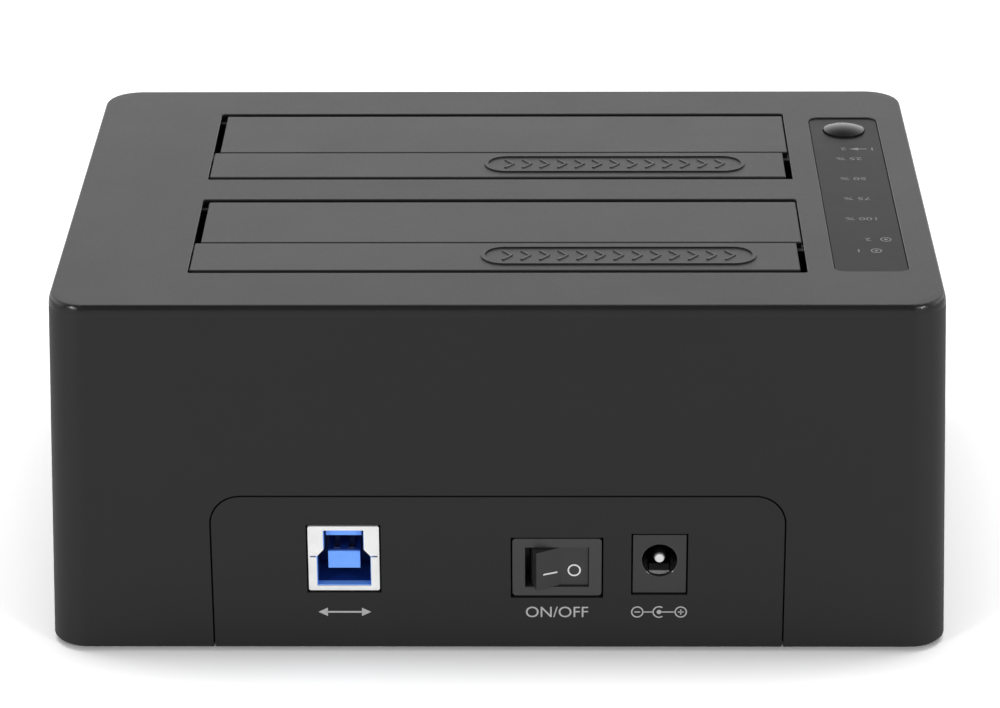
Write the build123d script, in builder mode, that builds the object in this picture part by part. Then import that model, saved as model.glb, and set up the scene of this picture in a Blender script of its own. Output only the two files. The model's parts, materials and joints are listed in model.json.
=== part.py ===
from build123d import *
import os
import math

os.makedirs("parts", exist_ok=True)

# Docking station for two upright hard drives. Millimetres, +Z up. It stands on z = 0, with the
# centre of its housing over the origin, its ports at -Y and its control strip towards +X.

# Housing: the room that it leaves beside and round the drive slots, and its height
side_margin = 24.5
end_margin = 14.475
bay_gap = 9.65
shell_height = 63.2
side_lean = 2.1
face_lean = 1.2
corner_radius = 6.4
wall = 2.2
top_thickness = 2.4
top_edge_radius = 0.9
bottom_edge_bevel = 0.4
foot_stand = 0.8
overrun = 1.0

# The drives that it takes, and the room round them
drive_width = 101.6
drive_thickness = 26.1
small_drive_thickness = 9.5
drive_end_play = 1.35
door_room = 3.5
split_play = 0.3
bay_shift = 0.8
plug_offset = 20.7
plug_setback = 3.5

# Doors and their hinges
rim_thickness = 0.95
rim_gap = 0.1
door_thickness = 2.0
door_sink = 0.05
door_short_gap = 0.25
door_long_gap = 1.2
door_split_gap = 0.35
hinge_setback = 1.65
hinge_depth = 1.6
barrel_radius = 1.1
hinge_edge_gap = 1.2
hinge_pin_radius = 0.6
hinge_pin_play = 0.07
pin_seat_play = 0.03
lug_length = 1.2
lug_thickness = 0.9
lug_overlap = 0.75
lug_play = 0.12
lug_room = 1.0

# Bay frames
frame_wall = 1.5
frame_fit = 0.2
drive_guide_play = 0.4
guide_drop = 24.0
well_floor_rise = 4.4

# Port plate and what shows in it
plate_end_margin = 28.25
plate_height = 28.4
plate_corner = 5.0
plate_groove = 0.3
port_recess = 0.25
port_gap = 0.3
usb_x = -26.1
usb_width = 12.05
usb_height = 12.1
usb_depth = 16.4
usb_stand = 0.4
switch_x = 10.03
switch_middle = 15.2
bezel_width = 15.1
bezel_height = 10.75
jack_x = 27.4
jack_width = 9.0
jack_height = 10.9
jack_depth = 14.2
jack_bore_radius = 3.2
jack_bore_height = 6.1

# Circuit board
board_rise = 10.4
board_thickness = 1.6
board_margin = 5.2

# Control strip
strip_width = 12.35
strip_end_margin = 15.9
strip_margin = 4.65
strip_thickness = 1.5
strip_sink = 0.25
strip_corner = 1.8
strip_fit = 0.12
strip_ledge = 1.5
strip_end_ledge = 1.6
button_radius = 3.7
button_x_shift = -0.05
button_end_margin = 6.1
button_travel = 0.5
indicator_drop = 6.2

# Heights and places that follow from these
base_z = foot_stand
top_z = base_z + shell_height
under_top_z = top_z - top_thickness
board_z = base_z + board_rise
board_under_z = board_z - board_thickness
slot_length = drive_width + 2 * drive_end_play
slot_depth = drive_thickness + 2 * door_room
bay_pitch = slot_depth + bay_gap
body_width = slot_length + 2 * side_margin
body_depth = bay_pitch + slot_depth + 2 * end_margin
rear_bay_y = bay_shift - bay_pitch / 2
front_bay_y = bay_shift + bay_pitch / 2
bay_places = [(0, rear_bay_y), (0, front_bay_y)]
plate_width = body_width - 2 * plate_end_margin
split_step = door_room + small_drive_thickness + split_play
frame_top_z = top_z - rim_thickness - rim_gap
well_floor_z = board_z + well_floor_rise
strip_length = body_depth - 2 * strip_end_margin
strip_x = slot_length / 2 + strip_margin + strip_width / 2
strip_top_z = top_z - strip_sink
strip_under_z = strip_top_z - strip_thickness
indicator_z = strip_under_z - indicator_drop
button_x = strip_x + button_x_shift
button_y = strip_length / 2 - button_end_margin


def plan_width(z, inset):
    """Width of the housing at a height, less an inset on each side."""
    return body_width - 2 * side_lean * (z - base_z) / shell_height - 2 * inset


def plan_depth(z, inset):
    """Depth of the housing at a height, less an inset on each side."""
    return body_depth - 2 * face_lean * (z - base_z) / shell_height - 2 * inset


def leaning_block(low_z, high_z, inset):
    """Solid between two heights with the housing's leaning walls, taken in by an inset."""
    low_x, high_x = plan_width(low_z, inset) / 2, plan_width(high_z, inset) / 2
    low_y, high_y = plan_depth(low_z, inset) / 2, plan_depth(high_z, inset) / 2
    with BuildPart() as block:
        with BuildSketch(Plane.XZ):
            with BuildLine():
                Polyline(
                    (-low_x, low_z), (low_x, low_z), (high_x, high_z), (-high_x, high_z), close=True
                )
            make_face()
        extrude(amount=body_depth, both=True)
        with BuildSketch(Plane.YZ):
            with BuildLine():
                Polyline(
                    (-low_y, low_z), (low_y, low_z), (high_y, high_z), (-high_y, high_z), close=True
                )
            make_face()
        extrude(amount=body_width, both=True, mode=Mode.INTERSECT)
        fillet(block.edges().filter_by(Plane.XY, reverse=True), corner_radius - inset)
    return block.part


def save(piece, name):
    """Labels a finished piece and writes its file."""
    piece.part.label = name
    export_step(piece.part, f"parts/{name}.step")


# Upper shell: one moulding with five walls, the two drive slots, the seat of the control strip,
# the mouth for the port plate and the bosses that everything else is screwed to.
case_boss_radius = 3.4
case_boss_inset_x = 9.75
case_boss_inset_y = 9.45
case_screw_radius = 1.4
case_screw_length = 10.0
thread_play = 0.05
tower_height = 5.0
floor_thickness = 2.2
seam_gap = 0.2
bay_post_radius = 2.6
bay_post_length = 7.0
bay_post_share = 0.3835
bay_post_clear = 3.4
inner_post_share = 0.19
bay_screw_radius = 1.0
slot_corner = 0.6
seat_frame_rise = 1.2
seat_frame_width = 2.0
rib_thickness = 1.2
rib_depth = 2.4
rib_step_share = 0.196
rib_count = 4
rib_foot_rise = 34.0
slot_edge_bevel = 0.15
indicator_post_radius = 2.0
indicator_post_margin = 0.3
indicator_screw_radius = 0.9
indicator_screw_grip = 4.4

case_boss_x = body_width / 2 - case_boss_inset_x
case_boss_y = body_depth / 2 - case_boss_inset_y
case_boss_end_z = base_z + floor_thickness + tower_height
rebate_length = slot_length + 2 * (lug_room + frame_wall + frame_fit)
rebate_depth = slot_depth + 2 * (frame_wall + frame_fit)
frame_rear_y = rear_bay_y - slot_depth / 2 - frame_wall
bays = (("rear_bay", rear_bay_y, -1), ("front_bay", front_bay_y, 1))
outer_post_places = [
    (column * bay_post_share * slot_length, bay_y + outward * (rebate_depth / 2 + bay_post_clear))
    for name, bay_y, outward in bays
    for column in (-1, 0, 1)
]
inner_post_places = [
    (outward * inner_post_share * slot_length, bay_shift) for name, bay_y, outward in bays
]
bay_post_places = outer_post_places + inner_post_places
bay_post_end_z = under_top_z - bay_post_length
indicator_post_y = strip_length / 2 - strip_end_ledge + indicator_post_margin + indicator_post_radius
indicator_post_places = [(strip_x, -indicator_post_y), (strip_x, indicator_post_y)]
rear_plane = Plane.XZ.offset(body_depth / 2 + overrun)

cavity = leaning_block(base_z - overrun, under_top_z, wall)

with BuildPart() as housing:
    add(leaning_block(base_z, top_z, 0))
    fillet(housing.faces().sort_by(Axis.Z)[-1].edges(), top_edge_radius)
    chamfer(housing.faces().sort_by(Axis.Z)[0].edges(), bottom_edge_bevel)

# Ribs inside the front and rear walls, and webs that tie the case bosses to the side walls
with BuildPart() as shell_ribs:
    with BuildSketch(Plane.XY.offset(under_top_z)):
        with GridLocations(
            rib_step_share * body_width, plan_depth(under_top_z, wall), rib_count, 2
        ):
            Rectangle(rib_thickness, 2 * rib_depth)
    extrude(amount=-(under_top_z - base_z - rib_foot_rise))
    with BuildSketch(Plane.XY.offset(under_top_z)):
        with GridLocations(2 * case_boss_x + case_boss_inset_x, 2 * case_boss_y, 2, 2):
            Rectangle(case_boss_inset_x, rib_thickness)
    extrude(amount=-(under_top_z - case_boss_end_z))
    add(leaning_block(base_z, top_z, wall / 2), mode=Mode.INTERSECT)


def plate_outline(grow, foot_z):
    """Outline of the port plate on the rear, grown at its sides and top and drawn to a foot."""
    with BuildSketch(rear_plane) as outline:
        with Locations((0, foot_z)):
            Rectangle(
                plate_width + 2 * grow,
                base_z + plate_height + grow - foot_z,
                align=(Align.CENTER, Align.MIN),
            )
        fillet(outline.vertices().group_by(Axis.Y)[-1], plate_corner + grow)
    return outline.sketch


with BuildPart() as upper_shell:
    add(housing.part)
    add(cavity, mode=Mode.SUBTRACT)
    add(shell_ribs.part)
    # Thicker frame round the strip's seat
    with BuildSketch(Plane.XY.offset(under_top_z)):
        with Locations((strip_x, 0)):
            Rectangle(strip_width + seat_frame_width, strip_length + 2 * seat_frame_width)
    extrude(amount=-seat_frame_rise)
    # Bosses for the case screws, and posts for the bay frames and the indicator board
    with BuildSketch(Plane.XY.offset(under_top_z)):
        with GridLocations(2 * case_boss_x, 2 * case_boss_y, 2, 2):
            Circle(case_boss_radius)
    extrude(amount=-(under_top_z - case_boss_end_z))
    with BuildSketch(Plane.XY.offset(under_top_z)):
        with Locations(*bay_post_places):
            Circle(bay_post_radius)
    extrude(amount=-bay_post_length)
    with BuildSketch(Plane.XY.offset(under_top_z)):
        with Locations(*indicator_post_places):
            Circle(indicator_post_radius)
    extrude(amount=-(under_top_z - indicator_z))
    with BuildSketch(Plane.XY.offset(case_boss_end_z)):
        with GridLocations(2 * case_boss_x, 2 * case_boss_y, 2, 2):
            Circle(case_screw_radius + thread_play)
    extrude(amount=case_screw_length, mode=Mode.SUBTRACT)
    with BuildSketch(Plane.XY.offset(bay_post_end_z)):
        with Locations(*bay_post_places):
            Circle(bay_screw_radius + thread_play)
    extrude(amount=bay_post_length - overrun, mode=Mode.SUBTRACT)
    with BuildSketch(Plane.XY.offset(indicator_z)):
        with Locations(*indicator_post_places):
            Circle(indicator_screw_radius + thread_play)
    extrude(amount=indicator_screw_grip, mode=Mode.SUBTRACT)
    # Rebate under each slot's rim, where its bay frame's walls rise
    with BuildSketch(Plane.XY.offset(top_z - rim_thickness)):
        with Locations(*bay_places):
            Rectangle(rebate_length, rebate_depth)
    extrude(amount=-(top_thickness - rim_thickness + seat_frame_rise), mode=Mode.SUBTRACT)
    with BuildSketch(Plane.XY.offset(top_z)):
        with Locations(*bay_places):
            RectangleRounded(slot_length, slot_depth, slot_corner)
    extrude(amount=-top_thickness, mode=Mode.SUBTRACT)
    # Seat of the control strip, and the opening through its ledge
    with BuildSketch(Plane.XY.offset(top_z)):
        with Locations((strip_x, 0)):
            RectangleRounded(
                strip_width + 2 * strip_fit, strip_length + 2 * strip_fit, strip_corner + strip_fit
            )
    extrude(amount=-(strip_sink + strip_thickness), mode=Mode.SUBTRACT)
    with BuildSketch(Plane.XY.offset(strip_under_z)):
        with Locations((strip_x, 0)):
            Rectangle(strip_width - 2 * strip_ledge, strip_length - 2 * strip_end_ledge)
    extrude(amount=-(top_thickness + seat_frame_rise), mode=Mode.SUBTRACT)
    # Soft edges round the slots and the seat
    top_face = upper_shell.faces().sort_by(Axis.Z)[-1]
    chamfer([edge for wire in top_face.inner_wires() for edge in wire.edges()], slot_edge_bevel)
    # Mouth for the port plate
    extrude(
        plate_outline(plate_groove, base_z - overrun),
        amount=-(wall + face_lean + 2 * overrun),
        mode=Mode.SUBTRACT,
    )
save(upper_shell, "upper_shell")

# Base: the floor that closes the housing, with a lip inside the walls, screw towers, board
# standoffs, seats for the feet, vents, and the upright port plate at the rear.
lip_thickness = 1.4
lip_height = 3.4
plate_lip = 1.2
plate_lip_reach = 1.6
standoff_radius = 3.0
standoff_inset = 3.0
standoff_middle_x = -12.0
standoff_row_share = 0.33
board_screw_radius = 1.1
tower_radius = 4.4
tower_bore_play = 0.3
tower_roof = 2.6
case_head_radius = 2.8
case_head_play = 0.4
foot_radius = 6.0
foot_seat_depth = 0.8
foot_inset_x = 24.75
foot_inset_y = 11.95
vent_width = 2.0
vent_length = 22.0
vent_step = 5.0
vent_count = 6
vent_spread_share_x = 0.47
vent_spread_share_y = 0.33
gusset_width = 1.2
gusset_reach = 6.0
gusset_inset = 6.4

port_face_y = -plan_depth(base_z + plate_height / 2, 0) / 2 + port_recess
plate_inner_y = -plan_depth(base_z + plate_height / 2, wall) / 2
standoff_side_x = strip_x - standoff_inset
standoff_row = standoff_row_share * body_depth
standoff_places = [
    (x, side * standoff_row)
    for x in (-standoff_side_x, standoff_middle_x, standoff_side_x)
    for side in (-1, 1)
]
foot_place_x = body_width / 2 - foot_inset_x
foot_place_y = body_depth / 2 - foot_inset_y
floor_top_z = base_z + floor_thickness
lip_inset = wall + seam_gap
switch_z = base_z + switch_middle
usb_z = board_z + usb_stand + usb_height / 2
jack_z = board_z + jack_height / 2

skin_block = leaning_block(base_z, base_z + plate_height + plate_lip_reach + overrun, lip_inset)
skin_core = leaning_block(
    base_z, base_z + plate_height + plate_lip_reach + overrun, lip_inset + plate_lip
)
lip_block = leaning_block(floor_top_z, floor_top_z + lip_height, lip_inset)
lip_core = leaning_block(floor_top_z, floor_top_z + lip_height, lip_inset + lip_thickness)
floor_block = leaning_block(base_z, floor_top_z, lip_inset)

with BuildPart() as plate_face:
    extrude(plate_outline(0, base_z), amount=-(body_depth / 4))
    add(housing.part, mode=Mode.INTERSECT)
    add(skin_core, mode=Mode.SUBTRACT)

with BuildPart() as plate_skin:
    extrude(plate_outline(plate_lip_reach, base_z), amount=-(body_depth / 4))
    add(skin_block, mode=Mode.INTERSECT)
    add(skin_core, mode=Mode.SUBTRACT)

with BuildPart() as plate_pocket:
    extrude(plate_outline(-plate_lip_reach, floor_top_z), amount=-(body_depth / 4))
    add(cavity, mode=Mode.INTERSECT)

with BuildPart() as base_shell:
    add(floor_block)
    add(lip_block)
    add(lip_core, mode=Mode.SUBTRACT)
    add(plate_face.part)
    add(plate_skin.part)
    with BuildSketch(Plane.XY.offset(floor_top_z)):
        with Locations(*standoff_places):
            Circle(standoff_radius)
    extrude(amount=board_under_z - floor_top_z)
    with BuildSketch(Plane.XY.offset(floor_top_z)):
        with GridLocations(2 * case_boss_x, 2 * case_boss_y, 2, 2):
            Circle(tower_radius)
    extrude(amount=tower_height)
    add(plate_pocket.part, mode=Mode.SUBTRACT)
    # Gussets that stiffen the port plate on the floor
    for side in (-1, 1):
        gusset_x = side * (plate_width / 2 - gusset_inset)
        with BuildSketch(Plane.YZ.offset(gusset_x - gusset_width / 2)):
            with BuildLine():
                Polyline(
                    (plate_inner_y - overrun, floor_top_z),
                    (plate_inner_y + gusset_reach, floor_top_z),
                    (plate_inner_y - overrun, floor_top_z + gusset_reach),
                    close=True,
                )
            make_face()
        extrude(amount=gusset_width)
    # Holes from below: screw heads, screw shanks, standoff holes, foot seats, vents
    with BuildSketch(Plane.XY.offset(base_z)):
        with GridLocations(2 * case_boss_x, 2 * case_boss_y, 2, 2):
            Circle(case_head_radius + case_head_play)
    extrude(amount=floor_thickness + tower_height - tower_roof, mode=Mode.SUBTRACT)
    with BuildSketch(Plane.XY.offset(base_z)):
        with GridLocations(2 * case_boss_x, 2 * case_boss_y, 2, 2):
            Circle(case_screw_radius + tower_bore_play)
    extrude(amount=floor_thickness + tower_height, mode=Mode.SUBTRACT)
    with BuildSketch(Plane.XY.offset(floor_top_z)):
        with Locations(*standoff_places):
            Circle(board_screw_radius + thread_play)
    extrude(amount=board_under_z - floor_top_z, mode=Mode.SUBTRACT)
    with BuildSketch(Plane.XY.offset(base_z)):
        with GridLocations(2 * foot_place_x, 2 * foot_place_y, 2, 2):
            Circle(foot_radius)
    extrude(amount=foot_seat_depth, mode=Mode.SUBTRACT)
    with BuildSketch(Plane.XY.offset(base_z)):
        with GridLocations(vent_spread_share_x * body_width, vent_spread_share_y * body_depth, 2, 2):
            with GridLocations(vent_step, 0, vent_count, 1):
                Rectangle(vent_width, vent_length)
    extrude(amount=floor_thickness, mode=Mode.SUBTRACT)
    # Openings for the ports
    with BuildSketch(rear_plane):
        with Locations((usb_x, usb_z)):
            Rectangle(usb_width + 2 * port_gap, usb_height + 2 * port_gap)
        with Locations((switch_x, switch_z)):
            Rectangle(bezel_width + 2 * port_gap, bezel_height + 2 * port_gap)
        with Locations((jack_x, jack_z)):
            Rectangle(jack_width + 2 * port_gap, jack_height + 2 * port_gap)
    extrude(amount=-(wall + face_lean + 2 * overrun), mode=Mode.SUBTRACT)
save(base_shell, "base_shell")

# Rubber feet, stuck in their seats in the floor.
foot_edge_bevel = 0.4

with BuildPart() as rubber_feet:
    with BuildSketch(Plane.XY):
        with GridLocations(2 * foot_place_x, 2 * foot_place_y, 2, 2):
            Circle(foot_radius - thread_play)
    extrude(amount=base_z + foot_seat_depth)
    chamfer(rubber_feet.faces().group_by(Axis.Z)[0].edges(), foot_edge_bevel)
save(rubber_feet, "rubber_feet")


def screw(head_radius, head_height, shank_radius, shank_length):
    """Pan-head screw with its head's seat at the origin and its shank towards +Z."""
    with BuildPart() as fastener:
        with BuildSketch(Plane.XY):
            Circle(head_radius)
        extrude(amount=-head_height)
        with BuildSketch(Plane.XY):
            Circle(shank_radius)
        extrude(amount=shank_length)
    return fastener.part


# Case screws: up through the towers of the base into the shell's bosses.
case_head_height = 1.9
case_seat_z = base_z + floor_thickness + tower_height - tower_roof
case_screw = screw(case_head_radius, case_head_height, case_screw_radius, case_screw_length)

with BuildPart() as case_screws:
    with Locations(Location((0, 0, case_seat_z))):
        with GridLocations(2 * case_boss_x, 2 * case_boss_y, 2, 2):
            add(case_screw)
save(case_screws, "case_screws")

# Bay frames: one moulding for each drive, a well whose walls rise under its slot's rim and carry
# the hinge pins. Three ears outside and one between the wells are screwed to the shell's posts.
ear_thickness = 2.0
ear_width = 7.0
ear_hole_play = 0.2
ear_gusset = 5.0
floor_plate = 1.5
guide_rib_width = 1.6
guide_rib_shares = (-0.43, -0.1, 0.1, 0.43)
guide_lead = 2.0
notch_gap = 0.9
socket_fit = 0.5
socket_length = 43.0
socket_width = 6.6
socket_height = 8.6
end_guide_length = 7.0

well_length = slot_length + 2 * lug_room
frame_length = well_length + 2 * frame_wall
frame_depth = slot_depth + 2 * frame_wall
well_under_z = well_floor_z - floor_plate
guide_top_z = top_z - guide_drop
hinge_z = top_z - hinge_depth
ear_z = bay_post_end_z - ear_thickness
inner_ear_reach = (bay_pitch - frame_depth) / 2 + bay_post_radius


def hinge_y(bay_y, side):
    """Hinge line of a bay's rear door (side -1) or front door (side 1)."""
    return bay_y + side * (slot_depth / 2 - hinge_setback)


def plug_y(bay_y):
    """Middle of the drive's plug in a bay."""
    return bay_y - slot_depth / 2 + door_room + plug_setback


def ear(x, face_y, outward, reach):
    """Flat ear on a wall of a bay frame, with a gusset under each of its edges."""
    with BuildPart() as lug:
        with BuildSketch(Plane.XY.offset(ear_z)):
            with Locations((x, face_y + outward * reach / 2)):
                Rectangle(ear_width, reach)
        extrude(amount=ear_thickness)
        for edge in (-1, 1):
            rib_x = x + edge * (ear_width - rib_thickness) / 2
            with BuildSketch(Plane.YZ.offset(rib_x - rib_thickness / 2)):
                with BuildLine():
                    Polyline(
                        (face_y, ear_z),
                        (face_y + outward * reach, ear_z),
                        (face_y, ear_z - ear_gusset),
                        close=True,
                    )
                make_face()
            extrude(amount=rib_thickness)
    return lug.part


def frame_part(bay_y, outward):
    """Bay frame of one slot. Its outer side looks away from the other slot."""
    outer_y = bay_y + outward * frame_depth / 2
    inner_y = bay_y - outward * frame_depth / 2
    with BuildPart() as frame:
        with BuildSketch(Plane.XY.offset(well_under_z)):
            with Locations((0, bay_y)):
                Rectangle(frame_length, frame_depth)
        extrude(amount=frame_top_z - well_under_z)
        with BuildSketch(Plane.XY.offset(well_floor_z)):
            with Locations((0, bay_y)):
                Rectangle(well_length, slot_depth)
        extrude(amount=frame_top_z - well_floor_z, mode=Mode.SUBTRACT)
        # End pads that narrow the well to the drive's width
        for side in (-1, 1):
            pad_inner = drive_width / 2 + drive_guide_play
            with BuildSketch(Plane.XZ.offset(-bay_y)):
                with BuildLine():
                    Polyline(
                        (side * well_length / 2, well_floor_z),
                        (side * pad_inner, well_floor_z),
                        (side * pad_inner, guide_top_z - guide_lead),
                        (side * well_length / 2, guide_top_z),
                        close=True,
                    )
                make_face()
            extrude(amount=end_guide_length, both=True)
        # Upright guide ribs that narrow the well to the drive's thickness
        rib_reach = door_room - drive_guide_play
        for side in (-1, 1):
            face_y = bay_y + side * slot_depth / 2
            for share in guide_rib_shares:
                with BuildSketch(Plane.YZ.offset(share * drive_width - guide_rib_width / 2)):
                    with BuildLine():
                        Polyline(
                            (face_y, well_floor_z),
                            (face_y - side * rib_reach, well_floor_z),
                            (face_y - side * rib_reach, guide_top_z - guide_lead),
                            (face_y, guide_top_z),
                            close=True,
                        )
                    make_face()
                extrude(amount=guide_rib_width)
        # Ears at the posts
        for column in (-1, 0, 1):
            add(ear(column * bay_post_share * slot_length, outer_y, outward, ear_width))
        add(ear(outward * inner_post_share * slot_length, inner_y, -outward, inner_ear_reach))
        with BuildSketch(Plane.XY.offset(ear_z)):
            with Locations(*bay_post_places):
                Circle(bay_screw_radius + ear_hole_play)
        extrude(amount=ear_thickness, mode=Mode.SUBTRACT)
        # Window in the floor for the drive socket
        with BuildSketch(Plane.XY.offset(well_under_z)):
            with Locations((plug_offset, plug_y(bay_y))):
                Rectangle(socket_length + 2 * socket_fit, socket_width + 2 * socket_fit)
        extrude(amount=floor_plate, mode=Mode.SUBTRACT)
        # Open seats for the hinge pins in the end walls
        for side in (-1, 1):
            with BuildSketch(Plane.YZ.offset(-frame_length / 2)):
                with Locations((hinge_y(bay_y, side), hinge_z)):
                    Circle(hinge_pin_radius + pin_seat_play)
                with Locations((hinge_y(bay_y, side), (hinge_z + frame_top_z) / 2)):
                    Rectangle(2 * (hinge_pin_radius + pin_seat_play), frame_top_z - hinge_z)
            extrude(amount=frame_length, mode=Mode.SUBTRACT)
        if outward < 0:
            # Notches over the USB socket and the power jack
            with BuildSketch(Plane.XZ.offset(-frame_rear_y)):
                with Locations((usb_x, well_under_z)):
                    Rectangle(
                        usb_width + 2 * notch_gap,
                        2 * (usb_z + usb_height / 2 + notch_gap - well_under_z),
                    )
                with Locations((jack_x, well_under_z)):
                    Rectangle(
                        jack_width + 2 * notch_gap,
                        2 * (jack_z + jack_height / 2 + notch_gap - well_under_z),
                    )
            extrude(
                amount=frame_rear_y - port_face_y - usb_depth - notch_gap, mode=Mode.SUBTRACT
            )
    return frame


for bay_name, bay_y, outward in bays:
    save(frame_part(bay_y, outward), f"{bay_name}_frame")

# Screws that hold the bay frames' ears to the posts.
bay_head_radius = 2.1
bay_head_height = 1.5
bay_screw_grip = 5.0
bay_screw = screw(
    bay_head_radius, bay_head_height, bay_screw_radius, ear_thickness + bay_screw_grip
)

with BuildPart() as bay_frame_screws:
    with Locations(*[Location((x, y, ear_z)) for x, y in bay_post_places]):
        add(bay_screw)
save(bay_frame_screws, "bay_frame_screws")

# Doors: each slot is closed by a narrow rear door and a wide front door. Each turns on a pin
# along its outer edge, and its lugs come up under the rim at the meeting edge.
door_rib_shares = (1 / 3, 2 / 3)
door_rib_depth = 0.8
door_rib_width = 1.2
door_edge_bevel = 0.15
coil_inner_radius = 0.72
coil_wire = 0.3
leg_wire_share = 0.9
leg_length_share = 3
coil_pitch_share = 1.15
coil_turns = 4
coil_room = 0.1
leg_play = 0.05
spring_end_margin = 6.0
outline_length = 46.8
outline_width = 8.0
outline_line = 0.7
outline_rise = 0.25
outline_shift = 20.5
outline_bias = 0.35

door_top_z = top_z - door_sink
lug_top_z = top_z - rim_thickness - lug_play
coil_pitch = coil_pitch_share * coil_wire
coil_length = coil_pitch * coil_turns
coil_outer_radius = coil_inner_radius + coil_wire


def door_part(bay_y, side):
    """Door of a bay on one side of its split, with its hinge barrel, lugs and ribs."""
    axis_y = hinge_y(bay_y, side)
    split_y = bay_y - slot_depth / 2 + split_step
    free_y = split_y + side * door_split_gap / 2
    outer_y = bay_y + side * (slot_depth / 2 - hinge_edge_gap)
    left_gap = door_short_gap if side < 0 else door_long_gap
    right_gap = door_long_gap if side < 0 else door_short_gap
    left_x = -slot_length / 2 + left_gap
    right_x = slot_length / 2 - right_gap
    spring_x = right_x - spring_end_margin if side < 0 else left_x + spring_end_margin
    under_z = door_top_z - door_thickness
    with BuildPart() as door:
        with BuildSketch(Plane.YZ.offset(left_x)):
            with Locations(((free_y + outer_y) / 2, (door_top_z + under_z) / 2)):
                Rectangle(abs(free_y - outer_y), door_thickness)
        extrude(amount=right_x - left_x)
        chamfer(door.faces().sort_by(Axis.Z)[-1].edges(), door_edge_bevel)
        with BuildSketch(Plane.YZ.offset(left_x)):
            with Locations((axis_y, hinge_z)):
                Circle(barrel_radius)
        extrude(amount=right_x - left_x)
        # Stiffening ribs along the underside
        for share in door_rib_shares:
            rib_y = axis_y + share * (free_y - axis_y)
            with BuildSketch(Plane.XY.offset(under_z)):
                with Locations(((left_x + right_x) / 2, rib_y)):
                    Rectangle(right_x - left_x - 2 * spring_end_margin, door_rib_width)
            extrude(amount=-door_rib_depth)
        # Lugs at both ends of the meeting edge
        with BuildSketch(Plane.XY.offset(lug_top_z)):
            with Locations((0, free_y + side * lug_length / 2)):
                Rectangle(slot_length + 2 * lug_overlap, lug_length)
        extrude(amount=-lug_thickness)
        # Bore for the pin, and the pocket for the spring
        with BuildSketch(Plane.YZ.offset(left_x - overrun)):
            with Locations((axis_y, hinge_z)):
                Circle(hinge_pin_radius + hinge_pin_play)
        extrude(amount=right_x - left_x + 2 * overrun, mode=Mode.SUBTRACT)
        with BuildSketch(Plane.YZ.offset(spring_x - coil_length / 2 - coil_wire)):
            with Locations((axis_y, hinge_z)):
                Circle(coil_outer_radius + coil_room)
            with Locations((axis_y, under_z - barrel_radius)):
                Rectangle(2 * (barrel_radius + coil_room), 2 * barrel_radius)
            with Locations((axis_y + side * barrel_radius, hinge_z - barrel_radius / 2)):
                Rectangle(2 * barrel_radius, barrel_radius)
        extrude(amount=coil_length + 2 * coil_wire, mode=Mode.SUBTRACT)
        if side < 0:
            # Raised rounded outline that marks the narrow door
            with BuildSketch(Plane.XY.offset(door_top_z)):
                with Locations((outline_shift, (free_y + outer_y) / 2 + outline_bias)):
                    SlotOverall(outline_length, outline_width)
                    SlotOverall(
                        outline_length - 2 * outline_line,
                        outline_width - 2 * outline_line,
                        mode=Mode.SUBTRACT,
                    )
            extrude(amount=outline_rise)
    return door


def spring_part(bay_y, side):
    """Torsion spring of a door: a close coil round the pin with one leg on each piece."""
    axis_y = hinge_y(bay_y, side)
    left_x = -slot_length / 2 + door_long_gap
    right_x = slot_length / 2 - door_long_gap
    spring_x = right_x - spring_end_margin if side < 0 else left_x + spring_end_margin
    coil_radius = coil_inner_radius + coil_wire / 2
    leg_length = leg_length_share * coil_radius
    with BuildPart() as spring:
        with BuildSketch(Plane.YZ.offset(spring_x - coil_length / 2)):
            with Locations((axis_y, hinge_z)):
                Circle(coil_outer_radius)
                Circle(coil_inner_radius, mode=Mode.SUBTRACT)
        extrude(amount=coil_length)
        # Leg under the door
        with BuildSketch(Plane.XZ.offset(-axis_y)):
            with Locations((spring_x - coil_length / 2 + coil_wire / 2, hinge_z - coil_radius)):
                Circle(leg_wire_share * coil_wire / 2)
        extrude(amount=side * leg_length)
        # Leg that leans on the wall of the well
        leg_x = spring_x + (coil_length - coil_wire) / 2
        lean = side * (hinge_setback - coil_radius - coil_wire / 2 - leg_play)
        leg_plane = Plane(
            origin=(leg_x, axis_y + side * coil_radius, hinge_z), z_dir=(0, lean, -leg_length)
        )
        with BuildSketch(leg_plane):
            Circle(leg_wire_share * coil_wire / 2)
        extrude(amount=math.hypot(lean, leg_length))
    return spring


for bay_name, bay_y, outward in bays:
    for door_name, side in (("narrow_door", -1), ("wide_door", 1)):
        save(door_part(bay_y, side), f"{bay_name}_{door_name}")
        save(spring_part(bay_y, side), f"{bay_name}_{door_name}_spring")

# Hinge pins: four plain rods that lie in the seats of the bay frames.
with BuildPart() as hinge_pins:
    with BuildSketch(Plane.YZ.offset(-frame_length / 2)):
        for bay_y in (rear_bay_y, front_bay_y):
            for side in (-1, 1):
                with Locations((hinge_y(bay_y, side), hinge_z)):
                    Circle(hinge_pin_radius)
    extrude(amount=frame_length)
save(hinge_pins, "hinge_pins")

# Circuit board, cut away at its corners round the shell's bosses, with slots for the terminals.
boss_clearance = 1.0
board_hole_play = 0.3
switch_body_depth = 11.6
terminal_width = 2.0
terminal_thickness = 0.8
terminal_spread = 5.0
terminal_play = 0.1

board_width = plan_width(board_z, wall) - board_margin
board_depth = plan_depth(board_z, wall) - board_margin
corner_cut_x = board_width / 2 - case_boss_x + tower_radius + boss_clearance
corner_cut_y = board_depth / 2 - case_boss_y + tower_radius + boss_clearance
terminal_places = [
    (x + side * terminal_spread / 2, port_face_y + depth + terminal_thickness / 2)
    for x, depth in ((switch_x, switch_body_depth), (jack_x, jack_depth))
    for side in (-1, 1)
]

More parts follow.
